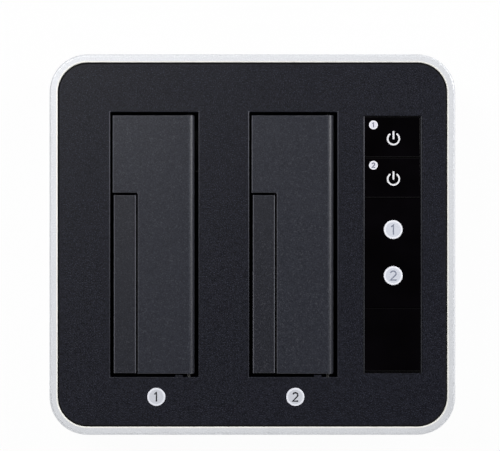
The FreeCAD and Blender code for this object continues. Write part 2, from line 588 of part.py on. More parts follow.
def door(number, centre):
    """The big door: an L-shaped plate with a round hinge edge, ribs, a stop lip and three lugs."""
    part = Moulding(f"drive_door_{number}", centre)
    front, rear = "0 - " + DOOR_END, DOOR_END
    part.pad([Polygon((NOTCH_X, front), (HINGE_X, front), (HINGE_X, rear), (DOOR_LEFT, rear),
                      (DOOR_LEFT, NOTCH_Y), (NOTCH_X, NOTCH_Y))], DOOR_UNDER, DOOR_TOP)
    notch = (value(NOTCH_X), value(NOTCH_Y))
    part.round("notchRound", lambda edge: math.dist(edge.BoundBox.Center[:2], notch) < 0.01)
    top, hinge = value(DOOR_TOP), value(HINGE_X)
    part.round("doorRound", lambda edge: level(edge, top) and edge.BoundBox.XMin < hinge - 0.1)
    part.pad([Disc(HINGE_X, HINGE_Z, "hingeRadius")], front, rear, "XZ")
    stop_lip(part, DOOR_LEFT, "lipPlace")
    lug = Polygon((f"{SLIM_X} - lugSide", f"{SLIM_Z} - slimBarrel"),
                  (f"{SLIM_X} + lugSide", f"{SLIM_Z} - slimBarrel"),
                  (f"{SLIM_X} + lugSide + lugFlare", DOOR_UNDER), (f"{SLIM_X} - lugSide", DOOR_UNDER))
    for low, high in lug_spans():
        part.pad([lug], low, high, "XZ")
    spine = f"({SLIM_X} + ribStart)"
    part.pad([rectangle(spine, front, f"{spine} + ribWidth", rear)],
             f"({DOOR_UNDER} - ribHeight)", DOOR_UNDER)
    rib = part.pad([rectangle(spine, "0 - ribPitch * (ribCount - 1) / 2", f"{HINGE_X} - hingeRadius / 2",
                              "ribWidth - ribPitch * (ribCount - 1) / 2")],
                   f"({DOOR_UNDER} - ribHeight)", DOOR_UNDER)
    part.repeat([rib], "Y", "(ribPitch * (ribCount - 1))", "ribCount")
    part.cut([Disc(HINGE_X, HINGE_Z, "pinRadius + pinPlay")], front, rear, "XZ")
    # room for the coil round the pin, open below
    room = ("springPlace - springRoom / 2", "springPlace + springRoom / 2")
    part.cut([Disc(HINGE_X, HINGE_Z, "pinRadius + springPlay + springWire + springPlay")], *room, "XZ")
    part.cut([rectangle(f"{HINGE_X} - hingeRadius - springWire", f"{HINGE_Z} - hingeRadius",
                        f"{HINGE_X} + hingeRadius", HINGE_Z)], *room, "XZ")
    for low, high in lug_spans():
        part.cut([Disc(SLIM_X, SLIM_Z, "slimPinRadius")], low, high, "XZ")


def arm_spans():
    """Front and rear of each arm of the slim door."""
    front = f"({SLIM_FRONT} + armInset)"
    rear = f"({SLIM_REAR} - armInset - armWidth)"
    return [(front, f"({front} + armWidth)"), (rear, f"({rear} + armWidth)")]


def lug_spans():
    """Each lug of the big door stands beside an arm, away from the middle; a third holds the middle."""
    (low, near), (far, high) = arm_spans()
    middle = f"({SLIM_MIDDLE} + lugMiddle)"
    return [(f"({low} - lugGap - lugWidth)", f"({low} - lugGap)"),
            (f"({high} + lugGap)", f"({high} + lugGap + lugWidth)"),
            (f"({middle} - lugWidth / 2)", f"({middle} + lugWidth / 2)")]


def slim_door(number, centre):
    """The slim door: a plate in the big door's notch on two goose-neck arms under the big door."""
    part = Moulding(f"slim_door_{number}", centre)
    part.pad([rectangle(SLIM_LEFT, SLIM_FRONT, SLIM_RIGHT, SLIM_REAR)], DOOR_UNDER, DOOR_TOP)
    top = value(DOOR_TOP)
    part.round("doorRound", lambda edge: level(edge, top))
    stop_lip(part, SLIM_LEFT, SLIM_MIDDLE)
    root = f"({SLIM_RIGHT} - armReach)"
    neck = f"({SLIM_RIGHT} - notchGapSide / 2)"
    arm = Polygon((root, DOOR_UNDER), (root, f"{SLIM_Z} - armHeel"),
                  (f"{root} + armSlope", f"{SLIM_Z} - slimBarrel"), (SLIM_X, f"{SLIM_Z} - slimBarrel"),
                  (SLIM_X, f"{SLIM_Z} + slimBarrel"), (neck, f"{SLIM_Z} + slimBarrel"), (neck, DOOR_UNDER))
    for low, high in arm_spans():
        part.pad([arm], low, high, "XZ")
        part.pad([Disc(SLIM_X, SLIM_Z, "slimBarrel")], low, high, "XZ")
        part.cut([Disc(SLIM_X, SLIM_Z, "slimPinRadius + pinPlay")], low, high, "XZ")


def pins(number, centre):
    """Steel pins: the big door's runs from collar to collar, the slim door's through the lugs."""
    finished(lying(f"doorPin{number}", HINGE_X, HINGE_Z, "0 - bayLength / 2 - pinReach",
                   "bayLength / 2 + pinReach", "pinRadius"), f"door_pin_{number}",
             shifted(HINGE_X, centre), "0 - bayLength / 2 - pinReach")
    front = f"({lug_spans()[0][0]} - springTurns * springPitch - springRoom / 2)"
    finished(lying(f"slimPin{number}", SLIM_X, SLIM_Z, front, lug_spans()[1][1], "slimPinRadius"),
             f"slim_pin_{number}", shifted(SLIM_X, centre), front)


def torsion_spring(label, centre, x, z, place, shaft, fixed):
    """A coil round a pin along Y, with a level leg to the fixed side and one rising to the door."""
    wire = value("springWire") / 2
    radius = value(shaft) + value("springPlay") + wire
    turns = int(value("springTurns"))
    length = turns * value("springPitch")
    sweep = 2 * math.pi * turns + math.radians(value("springLift"))
    steps = int(value("springSides")) * turns
    middle = FreeCAD.Vector(value(x), value(place) - length / 2, value(z))
    points = []
    for step in range(steps + 1):
        angle = -math.pi / 2 - sweep * step / steps
        points.append(middle + FreeCAD.Vector(radius * math.cos(angle), length * step / steps,
                                              radius * math.sin(angle)))
    last = -math.pi / 2 - sweep
    end = FreeCAD.Vector(math.sin(last), 0, -math.cos(last))
    start = points[0] + FreeCAD.Vector(value(fixed), 0, 0)
    path = Part.makePolygon([start] + points + [points[-1] + end * value("springLeg")])
    corners = [start + FreeCAD.Vector(0, wire * math.cos(turn), wire * math.sin(turn))
               for turn in (math.pi * side / 3 for side in range(6))]
    spring = doc.addObject("Part::Feature", label)
    spring.Shape = path.makePipeShell([Part.makePolygon(corners + corners[:1])], True, True, 1)
    finished(spring, label, centre)


def springs(number, centre):
    """The big door's springs bear on the collar, the slim door's on the big door's underside."""
    torsion_spring(f"door_spring_{number}", centre, HINGE_X, HINGE_Z, "springPlace", "pinRadius",
                   "doorGapRight + hingeRadius - springWire / 2")
    lug = lug_spans()[0][0]
    torsion_spring(f"slim_spring_{number}", centre, SLIM_X, SLIM_Z, f"{lug} - springTurns * springPitch",
                   "slimPinRadius", "lugSide")


def sata_socket(number, centre):
    """A 22-way socket: a tall housing with a signal slot and a power slot, each with a hooked end."""
    part = Moulding(f"sata_socket_{number}", shifted(SOCKET_X, centre), "socketPlace")
    top = f"({BOARD_TOP} + socketHeight)"
    part.pad([centred("socketWidth", "socketLength", "0", "socketCorner")], BOARD_TOP, top)
    whole = "(signalLength + slotSplit + powerLength)"
    start = f"(0 - {whole} / 2)"
    split = f"({start} + powerLength)"
    for low, high in ((start, split), (f"({split} + slotSplit)", f"({start} + {whole})")):
        hook = f"({high} - slotWidth)"
        slot = Polygon(("0 - slotWidth / 2", low), ("slotWidth / 2", low), ("slotWidth / 2", hook),
                       ("slotWidth / 2 + slotHook", hook), ("slotWidth / 2 + slotHook", high),
                       ("0 - slotWidth / 2", high))
        part.cut([slot], f"({top} - slotDepth)", top)
    contacts = []
    for key, low, length, count in (("power", start, "powerLength", 15),
                                    ("signal", f"({split} + slotSplit)", "signalLength", 7)):
        for place in range(count):
            y = f"({low} + ({length} - slotWidth) / 2 + ({place} - {(count - 1) / 2}) * contactPitch)"
            contacts.append(block(f"{key}{number}_{place}",
                                  ("0 - slotWidth / 2", f"{y} - contactWidth / 2", f"{top} - slotDepth"),
                                  ("contactThickness - slotWidth / 2", f"{y} + contactWidth / 2",
                                   f"{top} - slotDepth + contactHeight")))
    group(f"sata_contacts_{number}", contacts, shifted(SOCKET_X, centre), "socketPlace")


# x, y, width, depth and height of each chip: two rows beside the wells
BETWEEN = f"(({BAY_1} + {BAY_2}) / 2 - chipShift)"
ASIDE = f"({STRIP_X} - asideShift)"
REAR_ROW = f"({BOARD_DEPTH} / 2 - rearRow)"
CHIPS = (
    (BETWEEN, 18, 10, 10, 1.2), (BETWEEN, -8, 7, 7, 1.1), (BETWEEN, -30, 6, 5, 1.6),
    (ASIDE, 30, 12, 12, 1.3), (ASIDE, 4, 8, 6, 1.5), (ASIDE, -20, 6, 5, 1.6),
)
# the coils at the left stand either side of a board screw
COILS = (f"0 - {BOARD_SCREW_X} - coilOuter", f"coilInner - {BOARD_SCREW_X}", f"{BAY_2} + coilSpread")
CANS = ((f"{BAY_2} + canSpread", REAR_ROW), (f"canSide - {BOARD_WIDTH} / 2", "canRear"),
        (f"canSide - {BOARD_WIDTH} / 2", "canRear + canPitch"))


def boards():
    """The main board on four stand-offs, its chips, coils and capacitors."""
    part = Moulding("main_board")
    part.pad([centred(BOARD_WIDTH, BOARD_DEPTH, "0", "boardCorner")], BOARD_UNDER, BOARD_TOP)
    part.cut([Disc(x, y, "boardNotch") for x, y in CORNER], BOARD_UNDER, BOARD_TOP)
    part.cut([Disc(x, y, "boardScrewRadius + screwPlay") for x, y in BOARD_CORNER], BOARD_UNDER, BOARD_TOP)
    places = list(CHIPS) + [(x, REAR_ROW, "coilSize", "coilSize", "coilHeight") for x in COILS]
    chips = [block(f"chip{place}", (f"{x} - {width} / 2", f"{y} - {depth} / 2", BOARD_TOP),
                   (f"{x} + {width} / 2", f"{y} + {depth} / 2", f"{BOARD_TOP} + {height}"))
             for place, (x, y, width, depth, height) in enumerate(places)]
    group("board_chips", chips)
    cans = [rod(f"can{place}", x, y, BOARD_TOP, f"{BOARD_TOP} + canHeight", "canRadius")
            for place, (x, y) in enumerate(CANS)]
    group("board_capacitors", cans)
    group("board_screws", [screw(f"boardScrew{place}", x, y, BOARD_TOP, "boardScrewHeadHeight",
                                 "boardScrewHead", f"{BOARD_UNDER} - boardScrewLength", "boardScrewRadius")
                           for place, (x, y) in enumerate(BOARD_CORNER)])


def case_screws():
    """Long screws from the base into the cover's bosses, and short ones that hold the wells."""
    seat = "(footHeight + footSeat + screwHeadHeight)"
    group("case_screws", [screw(f"caseScrew{place}", x, y, seat, "0 - screwHeadHeight", "screwHeadRadius",
                                f"{BOSS_END} + screwLength - screwSpare", "screwRadius")
                          for place, (x, y) in enumerate(CORNER)])
    seat = f"({COLLAR_UNDER} - wellWall)"
    group("well_screws", [screw(f"wellScrew{number}{place}", shifted(x, centre), sign + EAR_Y, seat,
                                "0 - wellScrewHeadHeight", "wellScrewHead",
                                f"{COLLAR_UNDER} + wellScrewLength - wellScrewSpare", "wellScrewRadius")
                          for number, centre in bay_places() for place, (x, sign) in enumerate(ear_places())])


PORT_INNER = "(shellDepth / 2 - shellWall)"
PORT_BACK = f"({PORT_INNER} - portLip)"
JACK_Z = f"({BOARD_TOP} + jackRise)"
JACK_FACE = f"({PORT_BACK} - portBack)"
USB_Z = f"({BOARD_TOP} + usbHeight / 2)"
USB_FACE = f"({SHELL_REAR} - usbSink)"
USB_FRONT = f"({USB_FACE} - usbDepth)"


def capsule(margin):
    """The outline of the USB-C mouth, grown by a margin."""
    side = f"(usbWidth / 2 + ({margin}))"
    half = f"(usbHeight / 2 + ({margin}))"
    return Rounded(f"usbX - {side}", f"{USB_Z} - {half}", f"usbX + {side}", f"{USB_Z} + {half}",
                   f"{half} - 0.01")


def rear_ports():
    """The port plate in the shell's window, a barrel jack with its pin, and a USB-C receptacle."""
    plate = Moulding("rear_port_plate")
    plate.pad([Rounded("portPlay - portWidth / 2", "portBottom + portPlay", "portWidth / 2 - portPlay",
                       f"{PORT_TOP} - portPlay", "portCorner - portPlay")],
              PORT_INNER, f"({SHELL_REAR} - portSink)", "XZ")
    plate.pad([Rounded("0 - portWidth / 2 - portLip", "portBottom - portLip", "portWidth / 2 + portLip",
                       f"{PORT_TOP} + portLip", "portCorner")], PORT_BACK, PORT_INNER, "XZ")
    plate.cut([Disc("jackX", JACK_Z, "jackBore + jackPlay")], PORT_BACK, SHELL_REAR, "XZ")
    plate.cut([capsule("usbPlay")], PORT_BACK, SHELL_REAR, "XZ")
    jack = Moulding("dc_jack")
    jack.pad([rectangle("jackX - jackWidth / 2", BOARD_TOP, "jackX + jackWidth / 2",
                        f"{BOARD_TOP} + jackHeight")], f"({JACK_FACE} - jackDepth)", JACK_FACE, "XZ")
    jack.cut([Disc("jackX", JACK_Z, "jackBore")], f"({JACK_FACE} - jackDeep)", JACK_FACE, "XZ")
    pin_start = f"{JACK_FACE} - jackDeep"
    finished(lying("jackPinRod", "jackX", JACK_Z, pin_start, f"{pin_start} + jackPinLength", "jackPin"),
             "dc_jack_pin", "jackX", pin_start)
    usb = Moulding("usb_socket")
    usb.pad([capsule("0")], USB_FRONT, USB_FACE, "XZ")
    usb.cut([capsule("0 - usbWall")], f"({USB_FRONT} + usbBack)", USB_FACE, "XZ")
    tongue = block("tongueBar",
                   ("usbX - tongueWidth / 2", f"{USB_FRONT} + usbBack", f"{USB_Z} - tongueThickness / 2"),
                   ("usbX + tongueWidth / 2", f"{USB_FRONT} + usbBack + tongueLength",
                    f"{USB_Z} + tongueThickness / 2"))
    finished(tongue, "usb_tongue", "usbX - tongueWidth / 2", f"{USB_FRONT} + usbBack")


STRIP_INNER = "(stripWidth / 2 - frameEdge)"
STRIP_SEAT = f"({COVER_TOP} - windowDrop - windowThickness)"
STRIP_FACE = f"({COVER_TOP} - windowDrop)"
STRIP_SIDE = f"({STRIP_INNER} - stripFit)"
FRAME_SCREW = corners("frameScrewX", "frameScrewY")
LENS_Y = ("lensRear", "lensFront")


def control_frame():
    """The frame of the strip: a tray with a rim, a flange under the cover, and bosses for the key board."""
    part = Moulding("control_frame", STRIP_X)
    part.pad([centred("stripWidth", "stripLength", "0")], FRAME_UNDER, COVER_TOP)
    part.pad([centred("stripWidth + 2 * frameFlange", "stripLength + 2 * frameFlange", "0")],
             FRAME_UNDER, COVER_UNDER)
    rear = "(stripLength / 2 - frameEdge)"
    part.cut([rectangle("0 - " + STRIP_INNER, WINDOW_REAR, STRIP_INNER, rear)], FRAME_FLOOR_TOP, COVER_TOP)
    part.cut([rectangle("0 - " + STRIP_INNER, "0 - " + rear, STRIP_INNER, WINDOW_REAR)],
             STRIP_SEAT, COVER_TOP)
    part.cut([Disc("0", y, "stemRadius + stemPlay") for y in KEY_Y], FRAME_UNDER, FRAME_FLOOR_TOP)
    part.cut([Disc("lensX", y, "lensRadius + lensPlay") for y in LENS_Y], FRAME_UNDER, STRIP_SEAT)
    part.pad([Disc(x, y, "panelBoss") for x, y in FRAME_SCREW], PANEL_BOARD_TOP, FRAME_UNDER)
    part.cut([Disc(x, y, "frameScrewRadius") for x, y in FRAME_SCREW], PANEL_BOARD_TOP,
             f"({PANEL_BOARD_TOP} + frameScrewLength)")


def strip_plates():
    """The glossy status window with its two lenses, and the bare plate at the front end."""
    window = Moulding("status_window", STRIP_X)
    window.pad([rectangle("0 - " + STRIP_SIDE, WINDOW_FRONT, STRIP_SIDE, WINDOW_REAR)],
               STRIP_SEAT, STRIP_FACE)
    window.cut([Disc("lensX", y, "lensRadius + lensPlay") for y in LENS_Y], STRIP_SEAT, STRIP_FACE)
    plate = Moulding("blank_plate", STRIP_X)
    plate.pad([rectangle("0 - " + STRIP_SIDE, PLATE_FRONT, STRIP_SIDE, PLATE_REAR)], STRIP_SEAT, STRIP_FACE)
    face = value(STRIP_FACE)
    plate.round("keyRound", lambda edge: level(edge, face))
    top = value(COVER_TOP)
    for place, y in enumerate(LENS_Y, 1):
        lens = Moulding(f"status_lens_{place}", f"{STRIP_X} + lensX", y)
        lens.pad([Disc("0", "0", "lensRadius")], f"({COVER_TOP} - lensLength)", COVER_TOP)
        lens.round("discRound", lambda edge: level(edge, top), "Chamfer")


def power_key(place, y):
    """A key with its stem and its small disc, over a tact switch whose plunger it presses."""
    key = Moulding(f"power_key_{place}", STRIP_X, y)
    under = f"({KEY_TOP} - keyThickness)"
    key.pad([centred("keyWidth", "keyLength", "0")], under, KEY_TOP)
    top = value(KEY_TOP)
    key.round("keyRound", lambda edge: level(edge, top))
    switch_top = f"({PANEL_BOARD_TOP} + switchHeight)"
    key.pad([Disc("0", "0", "stemRadius")], f"({switch_top} + plungerRise)", under)
    badge_floor = f"({KEY_TOP} - keyBadgeThickness)"
    key.cut([Disc("keyBadgeX", "keyBadgeY", "keyBadgeRadius + lensPlay")], badge_floor, KEY_TOP)
    badge = Moulding(f"key_badge_{place}", f"{STRIP_X} + keyBadgeX", f"{y} + keyBadgeY")
    badge.pad([Disc("0", "0", "keyBadgeRadius")], badge_floor, f"({KEY_TOP} + keyBadgeProud)")
    switch = Moulding(f"tact_switch_{place}", STRIP_X, y)
    switch.pad([centred("switchSize", "switchSize", "0")], PANEL_BOARD_TOP, switch_top)
    switch.cut([Disc("0", "0", "plungerRadius + plungerPlay")],
               f"({switch_top} - plungerSink - keyTravel - plungerSpare)", switch_top)
    plunger = rod(f"plungerRod{place}", STRIP_X, y, f"{switch_top} - plungerSink",
                  f"{switch_top} + plungerRise", "plungerRadius")
    finished(plunger, f"switch_plunger_{place}", STRIP_X, y)


def key_board():
    """The key board under the frame's bosses, its screws and the two status lights."""
    board = Moulding("key_board", STRIP_X)
    board.pad([centred("panelBoardWidth", "panelBoardLength", "0")], PANEL_BOARD_UNDER, PANEL_BOARD_TOP)
    board.cut([Disc(x, y, "frameScrewRadius + screwPlay") for x, y in FRAME_SCREW],
              PANEL_BOARD_UNDER, PANEL_BOARD_TOP)
    end = f"{PANEL_BOARD_TOP} + frameScrewLength - frameScrewSpare"
    group("panel_screws", [screw(f"panelScrew{place}", shifted(x, STRIP_X), y, PANEL_BOARD_UNDER,
                                 "0 - frameScrewHeadHeight", "frameScrewHead", end, "frameScrewRadius")
                           for place, (x, y) in enumerate(FRAME_SCREW)])
    group("status_leds", [block(f"led{place}",
                                (f"{STRIP_X} + lensX - ledSize / 2", f"{y} - ledSize / 2", PANEL_BOARD_TOP),
                                (f"{STRIP_X} + lensX + ledSize / 2", f"{y} + ledSize / 2",
                                 f"{PANEL_BOARD_TOP} + ledHeight"))
                          for place, y in enumerate(LENS_Y)])


def bay_badge(number, centre):
    """The white disc let into the top in front of a bay."""
    badge = Moulding(f"bay_badge_{number}", shifted("badgeSide", centre), BADGE_Y)
    face = f"({COVER_TOP} + badgeProud)"
    badge.pad([Disc("0", "0", "badgeRadius")], f"({face} - badgeThickness)", face)
    top = value(face)
    badge.round("discRound", lambda edge: level(edge, top), "Chamfer")


def flat_cable():
    """A ribbon from the key board down to the main board, with a bend at each end."""
    part = Moulding("flat_cable", STRIP_X, "ribbonY")
    inner = "(0 - ribbonThickness)"
    foot = "(0 - ribbonFoot)"
    top, low = PANEL_BOARD_UNDER, BOARD_TOP
    part.pad([Polygon((foot, low), (foot, f"{low} + ribbonThickness"), (inner, f"{low} + ribbonThickness"),
                      (inner, f"{top} - ribbonThickness"), (foot, f"{top} - ribbonThickness"), (foot, top),
                      ("0", top), ("0", low))], "0 - ribbonWidth / 2", "ribbonWidth / 2", "XZ")

    def bend(x):
        place = value(x)
        return lambda edge: (abs(edge.BoundBox.XMin - place) < 1e-4 and abs(edge.BoundBox.XMax - place) < 1e-4
                             and edge.BoundBox.YLength > 1)

    part.round("ribbonBend - ribbonThickness", bend(inner))
    part.round("ribbonBend", bend("0"))


shell()
base()
feet()
cover()
for number, centre in bay_places():
    well(number, centre)
    door(number, centre)
    slim_door(number, centre)
    pins(number, centre)
    springs(number, centre)
    sata_socket(number, centre)
    bay_badge(number, centre)

boards()
case_screws()
rear_ports()
control_frame()
strip_plates()
for place, y in enumerate(KEY_Y, 1):
    power_key(place, y)
key_board()
flat_cable()

doc.recompute()
for thing in doc.Objects:
    if "Invalid" in thing.State or "Error" in thing.State:
        raise SystemExit(f"{thing.Label} failed: {thing.State}")
for piece in pieces:
    if piece.Shape.isNull() or not piece.Shape.isValid():
        raise SystemExit(f"{piece.Label} has no valid shape")
os.makedirs("parts", exist_ok=True)
for piece in pieces:
    piece.Shape.exportStep(f"parts/{piece.Label}.step")
    print(piece.Label, len(piece.Shape.Solids), round(piece.Shape.Volume, 1))
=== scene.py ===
import math

import bmesh
import bpy
from mathutils import Matrix, Vector


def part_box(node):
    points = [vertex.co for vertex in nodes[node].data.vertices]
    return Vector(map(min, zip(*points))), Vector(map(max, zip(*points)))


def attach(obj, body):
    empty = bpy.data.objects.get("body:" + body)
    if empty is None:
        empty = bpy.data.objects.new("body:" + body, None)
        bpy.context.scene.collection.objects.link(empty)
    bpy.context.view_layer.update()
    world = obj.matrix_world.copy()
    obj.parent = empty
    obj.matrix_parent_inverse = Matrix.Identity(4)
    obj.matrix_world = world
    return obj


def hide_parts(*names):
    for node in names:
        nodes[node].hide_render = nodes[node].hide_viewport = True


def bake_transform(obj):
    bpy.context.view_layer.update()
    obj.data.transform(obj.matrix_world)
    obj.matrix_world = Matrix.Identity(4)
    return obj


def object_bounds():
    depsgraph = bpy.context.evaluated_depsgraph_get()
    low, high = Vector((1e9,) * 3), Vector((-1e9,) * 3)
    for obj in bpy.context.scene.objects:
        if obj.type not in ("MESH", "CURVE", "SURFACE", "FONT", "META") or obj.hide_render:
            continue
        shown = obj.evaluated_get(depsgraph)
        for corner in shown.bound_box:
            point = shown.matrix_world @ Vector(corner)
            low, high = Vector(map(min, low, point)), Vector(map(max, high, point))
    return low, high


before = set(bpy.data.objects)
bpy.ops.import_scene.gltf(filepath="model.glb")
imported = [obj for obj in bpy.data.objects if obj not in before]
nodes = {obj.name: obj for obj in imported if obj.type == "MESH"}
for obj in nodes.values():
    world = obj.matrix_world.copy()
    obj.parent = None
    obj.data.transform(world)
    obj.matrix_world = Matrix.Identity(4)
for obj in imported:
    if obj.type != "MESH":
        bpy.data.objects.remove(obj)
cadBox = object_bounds()
mm = 0.001  # the frame is in metres
bothBays = "12"
print("frame loaded:", len(nodes), "nodes")


class Wire:
    # a node's output that can be added, taken away and multiplied like a number
    def __init__(self, graph, socket):
        self.graph = graph
        self.socket = socket

    def __add__(self, other):
        return self.graph.maths("ADD", self, other)

    def __radd__(self, other):
        return self.graph.maths("ADD", other, self)

    def __sub__(self, other):
        return self.graph.maths("SUBTRACT", self, other)

    def __rsub__(self, other):
        return self.graph.maths("SUBTRACT", other, self)

    def __mul__(self, other):
        return self.graph.maths("MULTIPLY", self, other)

    def __rmul__(self, other):
        return self.graph.maths("MULTIPLY", other, self)


class Graph:
    # adds nodes to one node tree
    def __init__(self, tree):
        self.tree = tree

    def node(self, kind, settings, inputs, output=0):
        made = self.tree.nodes.new(kind)
        for word, choice in settings.items():
            if word == "stops":
                self.setStops(made.color_ramp, choice)
            else:
                setattr(made, word, choice)
        for key, value in inputs.items():
            self.feed(made.inputs[key], value)
        return Wire(self, made.outputs[output])

    def feed(self, socket, value):
        if isinstance(value, Wire):
            self.tree.links.new(value.socket, socket)
        else:
            socket.default_value = value

    def setStops(self, ramp, stops):
        while len(ramp.elements) > 1:
            ramp.elements.remove(ramp.elements[0])
        ramp.elements[0].position = stops[0][0]
        ramp.elements[0].color = color(stops[0][1])
        for place, shade in stops[1:]:
            ramp.elements.new(place).color = color(shade)

    def maths(self, operation, first, second=0.0):
        return self.node("ShaderNodeMath", {"operation": operation}, {0: first, 1: second})

    def vector(self, operation, first, second=(0, 0, 0), output=0):
        return self.node("ShaderNodeVectorMath", {"operation": operation}, {0: first, 1: second}, output)

    def axis(self, vector, number):
        return self.node("ShaderNodeSeparateXYZ", {}, {0: vector}, number)

    def slide(self, wire, low, high, first=0.0, last=1.0):
        # goes from first to last while the wire goes from low to high
        return self.node("ShaderNodeMapRange", {"clamp": True}, {0: wire, 1: low, 2: high, 3: first, 4: last})

    def band(self, wire, low, high, soft):
        # 1 between two values, with soft edges
        rise = self.slide(wire, low - soft, low + soft)
        return rise * self.slide(wire, high - soft, high + soft, 1.0, 0.0)

    def steps(self, wire, stops):
        return self.node("ShaderNodeValToRGB", {"stops": stops}, {"Fac": wire})

    def blend(self, share, first, second):
        return self.node("ShaderNodeMix", {"data_type": "RGBA"},
                         {0: share, 6: color(first), 7: color(second)}, 2)

    def ray(self, kind):
        return self.node("ShaderNodeLightPath", {}, {}, f"Is {kind} Ray")


class Finish(Graph):
    # one node material, with the plain values of its shader set by name
    def __init__(self, name, **plain):
        self.material = bpy.data.materials.new(name)
        self.material.use_nodes = True
        super().__init__(self.material.node_tree)
        self.shader = self.tree.nodes["Principled BSDF"]
        self.set(**plain)

    def set(self, **sockets):
        for word, value in sockets.items():
            self.feed(self.shader.inputs[word.replace("_", " ")], value)
        return self

    def place(self):
        return self.node("ShaderNodeTexCoord", {}, {}, "Object")

    def noise(self, size, detail=2.0, roughness=0.5, stretch=(1, 1, 1)):
        # size is the grain's width in metres
        scaled = self.node("ShaderNodeMapping", {}, {"Vector": self.place(), "Scale": stretch})
        return self.node("ShaderNodeTexNoise", {}, {"Vector": scaled, "Scale": 1 / size, "Detail": detail,
                                                    "Roughness": roughness})

    def spread(self, wire, low, high):
        # stretches the middle of a noise to run from low to high
        return self.slide(wire, 0.3, 0.7, low, high)

    def inward(self, outline):
        # how far a point lies inside a rectangle with round corners, seen from above
        corner = outline["corner"]
        reach = (outline["width"] / 2 - corner, outline["depth"] / 2 - corner, 0)
        past = self.vector("SUBTRACT", self.vector("ABSOLUTE", self.place()), reach)
        past = self.vector("MULTIPLY", past, (1, 1, 0))
        away = self.vector("LENGTH", self.vector("MAXIMUM", past), output="Value")
        within = self.maths("MINIMUM", self.maths("MAXIMUM", self.axis(past, 0), self.axis(past, 1)))
        return corner - away - within

    def sides(self, outline, reach, soft):
        # 1 along the two long sides of a rectangle seen from above
        middle = outline["middle"]
        across = self.maths("ABSOLUTE", self.axis(self.place(), 0) - middle[0])
        along = self.maths("ABSOLUTE", self.axis(self.place(), 1) - middle[1])
        side = outline["width"] / 2
        beside = self.band(across, side - reach, side + reach, soft)
        return beside * self.maths("LESS_THAN", along, outline["depth"] / 2 + reach)

    def bump(self, height, depth, strength):
        return self.node("ShaderNodeBump", {}, {"Height": height, "Distance": depth, "Strength": strength})


def color(value):
    # a wire, a tone with three parts or one shade of grey
    if isinstance(value, Wire):
        return value
    return (value, value, value, 1) if isinstance(value, (int, float)) else (*value, 1)


shellOutline = {"width": cadBox[1].x - cadBox[0].x, "depth": cadBox[1].y - cadBox[0].y, "corner": 15 * mm,
                "rim": 3.2 * mm}
aluminium = {"base": (0.70, 0.715, 0.745), "sparkle": (0.86, 0.87, 0.89), "sparkleShare": 0.8,
             "dull": (0.58, 0.59, 0.62), "dullShare": 0.6, "metallic": 0.3, "grain": 0.5 * mm,
             "harsh": 0.7, "clouds": 9 * mm, "roughness": 0.5, "vary": 0.03, "sparkleGloss": 0.08,
             "depth": 0.012 * mm, "bump": 0.5, "sparkleStops": [(0.0, 0.0), (0.55, 0.0), (0.7, 1.0)],
             "dullStops": [(0.3, 1.0), (0.45, 0.0), (1.0, 0.0)],
             "cut": (0.98, 0.97, 0.92), "cutStart": 2.7 * mm, "cutEnd": 4 * mm, "cutSoft": 0.06 * mm,
             "cutHeight": 1 * mm}


def blastedAluminium():
    # blasted grain, with a painted highlight round the inside edge of the rim
    size = aluminium
    finish = Finish("blastedAluminium", Metallic=size["metallic"])
    grain = finish.noise(size["grain"], 2.0, size["harsh"])
    clouds = finish.noise(size["clouds"])
    sparkle = finish.steps(grain, size["sparkleStops"])
    dull = finish.steps(grain, size["dullStops"])
    tone = finish.blend(dull * size["dullShare"], size["base"], size["dull"])
    tone = finish.blend(sparkle * size["sparkleShare"], tone, size["sparkle"])
    # painted highlight: a near-white band on the inner edge of the rim, at the top
    cut = finish.band(finish.inward(shellOutline), size["cutStart"], size["cutEnd"], size["cutSoft"])
    height = finish.axis(finish.place(), 2)
    cut = cut * finish.maths("GREATER_THAN", height, cadBox[1].z - size["cutHeight"])
    tone = finish.blend(cut, tone, size["cut"])
    rough = finish.spread(clouds, size["roughness"] - size["vary"], size["roughness"] + size["vary"])
    return finish.set(Base_Color=tone, Roughness=rough - sparkle * size["sparkleGloss"],
                      Normal=finish.bump(grain, size["depth"], size["bump"]))


bay = {"lip": 1.8 * mm, "left": 1.05 * mm, "right": 1.55 * mm, "end": 1.3 * mm, "notch": 0.65 * mm,
       "shade": 1.5 * mm, "flat": 0.2 * mm}
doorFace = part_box("drive_door_1")[1].z


def doorOutline(place):
    # the visible plate of a bay's door, without its stop lips
    low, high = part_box("drive_door_" + place)
    left = low.x + bay["lip"]
    return {"middle": ((left + high.x) / 2, 0), "width": high.x - left, "depth": high.y - low.y}


def bayOutline(place):
    # the cover's opening round the door
    door = doorOutline(place)
    shift = (bay["right"] - bay["left"]) / 2
    return {"middle": (door["middle"][0] + shift, 0), "width": door["width"] + bay["left"] + bay["right"],
            "depth": door["depth"] + 2 * bay["end"]}


def slimOutline(place, gap=0.0):
    # the flat of the slim door, or with its gap the notch round it
    points = [vert.co for vert in nodes["slim_door_" + place].data.vertices]
    points = [point for point in points if point.z > doorFace - bay["flat"]]
    left, right = min(point.x for point in points), max(point.x for point in points)
    front, rear = min(point.y for point in points), max(point.y for point in points)
    return {"middle": ((left + right) / 2, (front + rear) / 2), "width": right - left + 2 * gap,
            "depth": rear - front + 2 * gap}
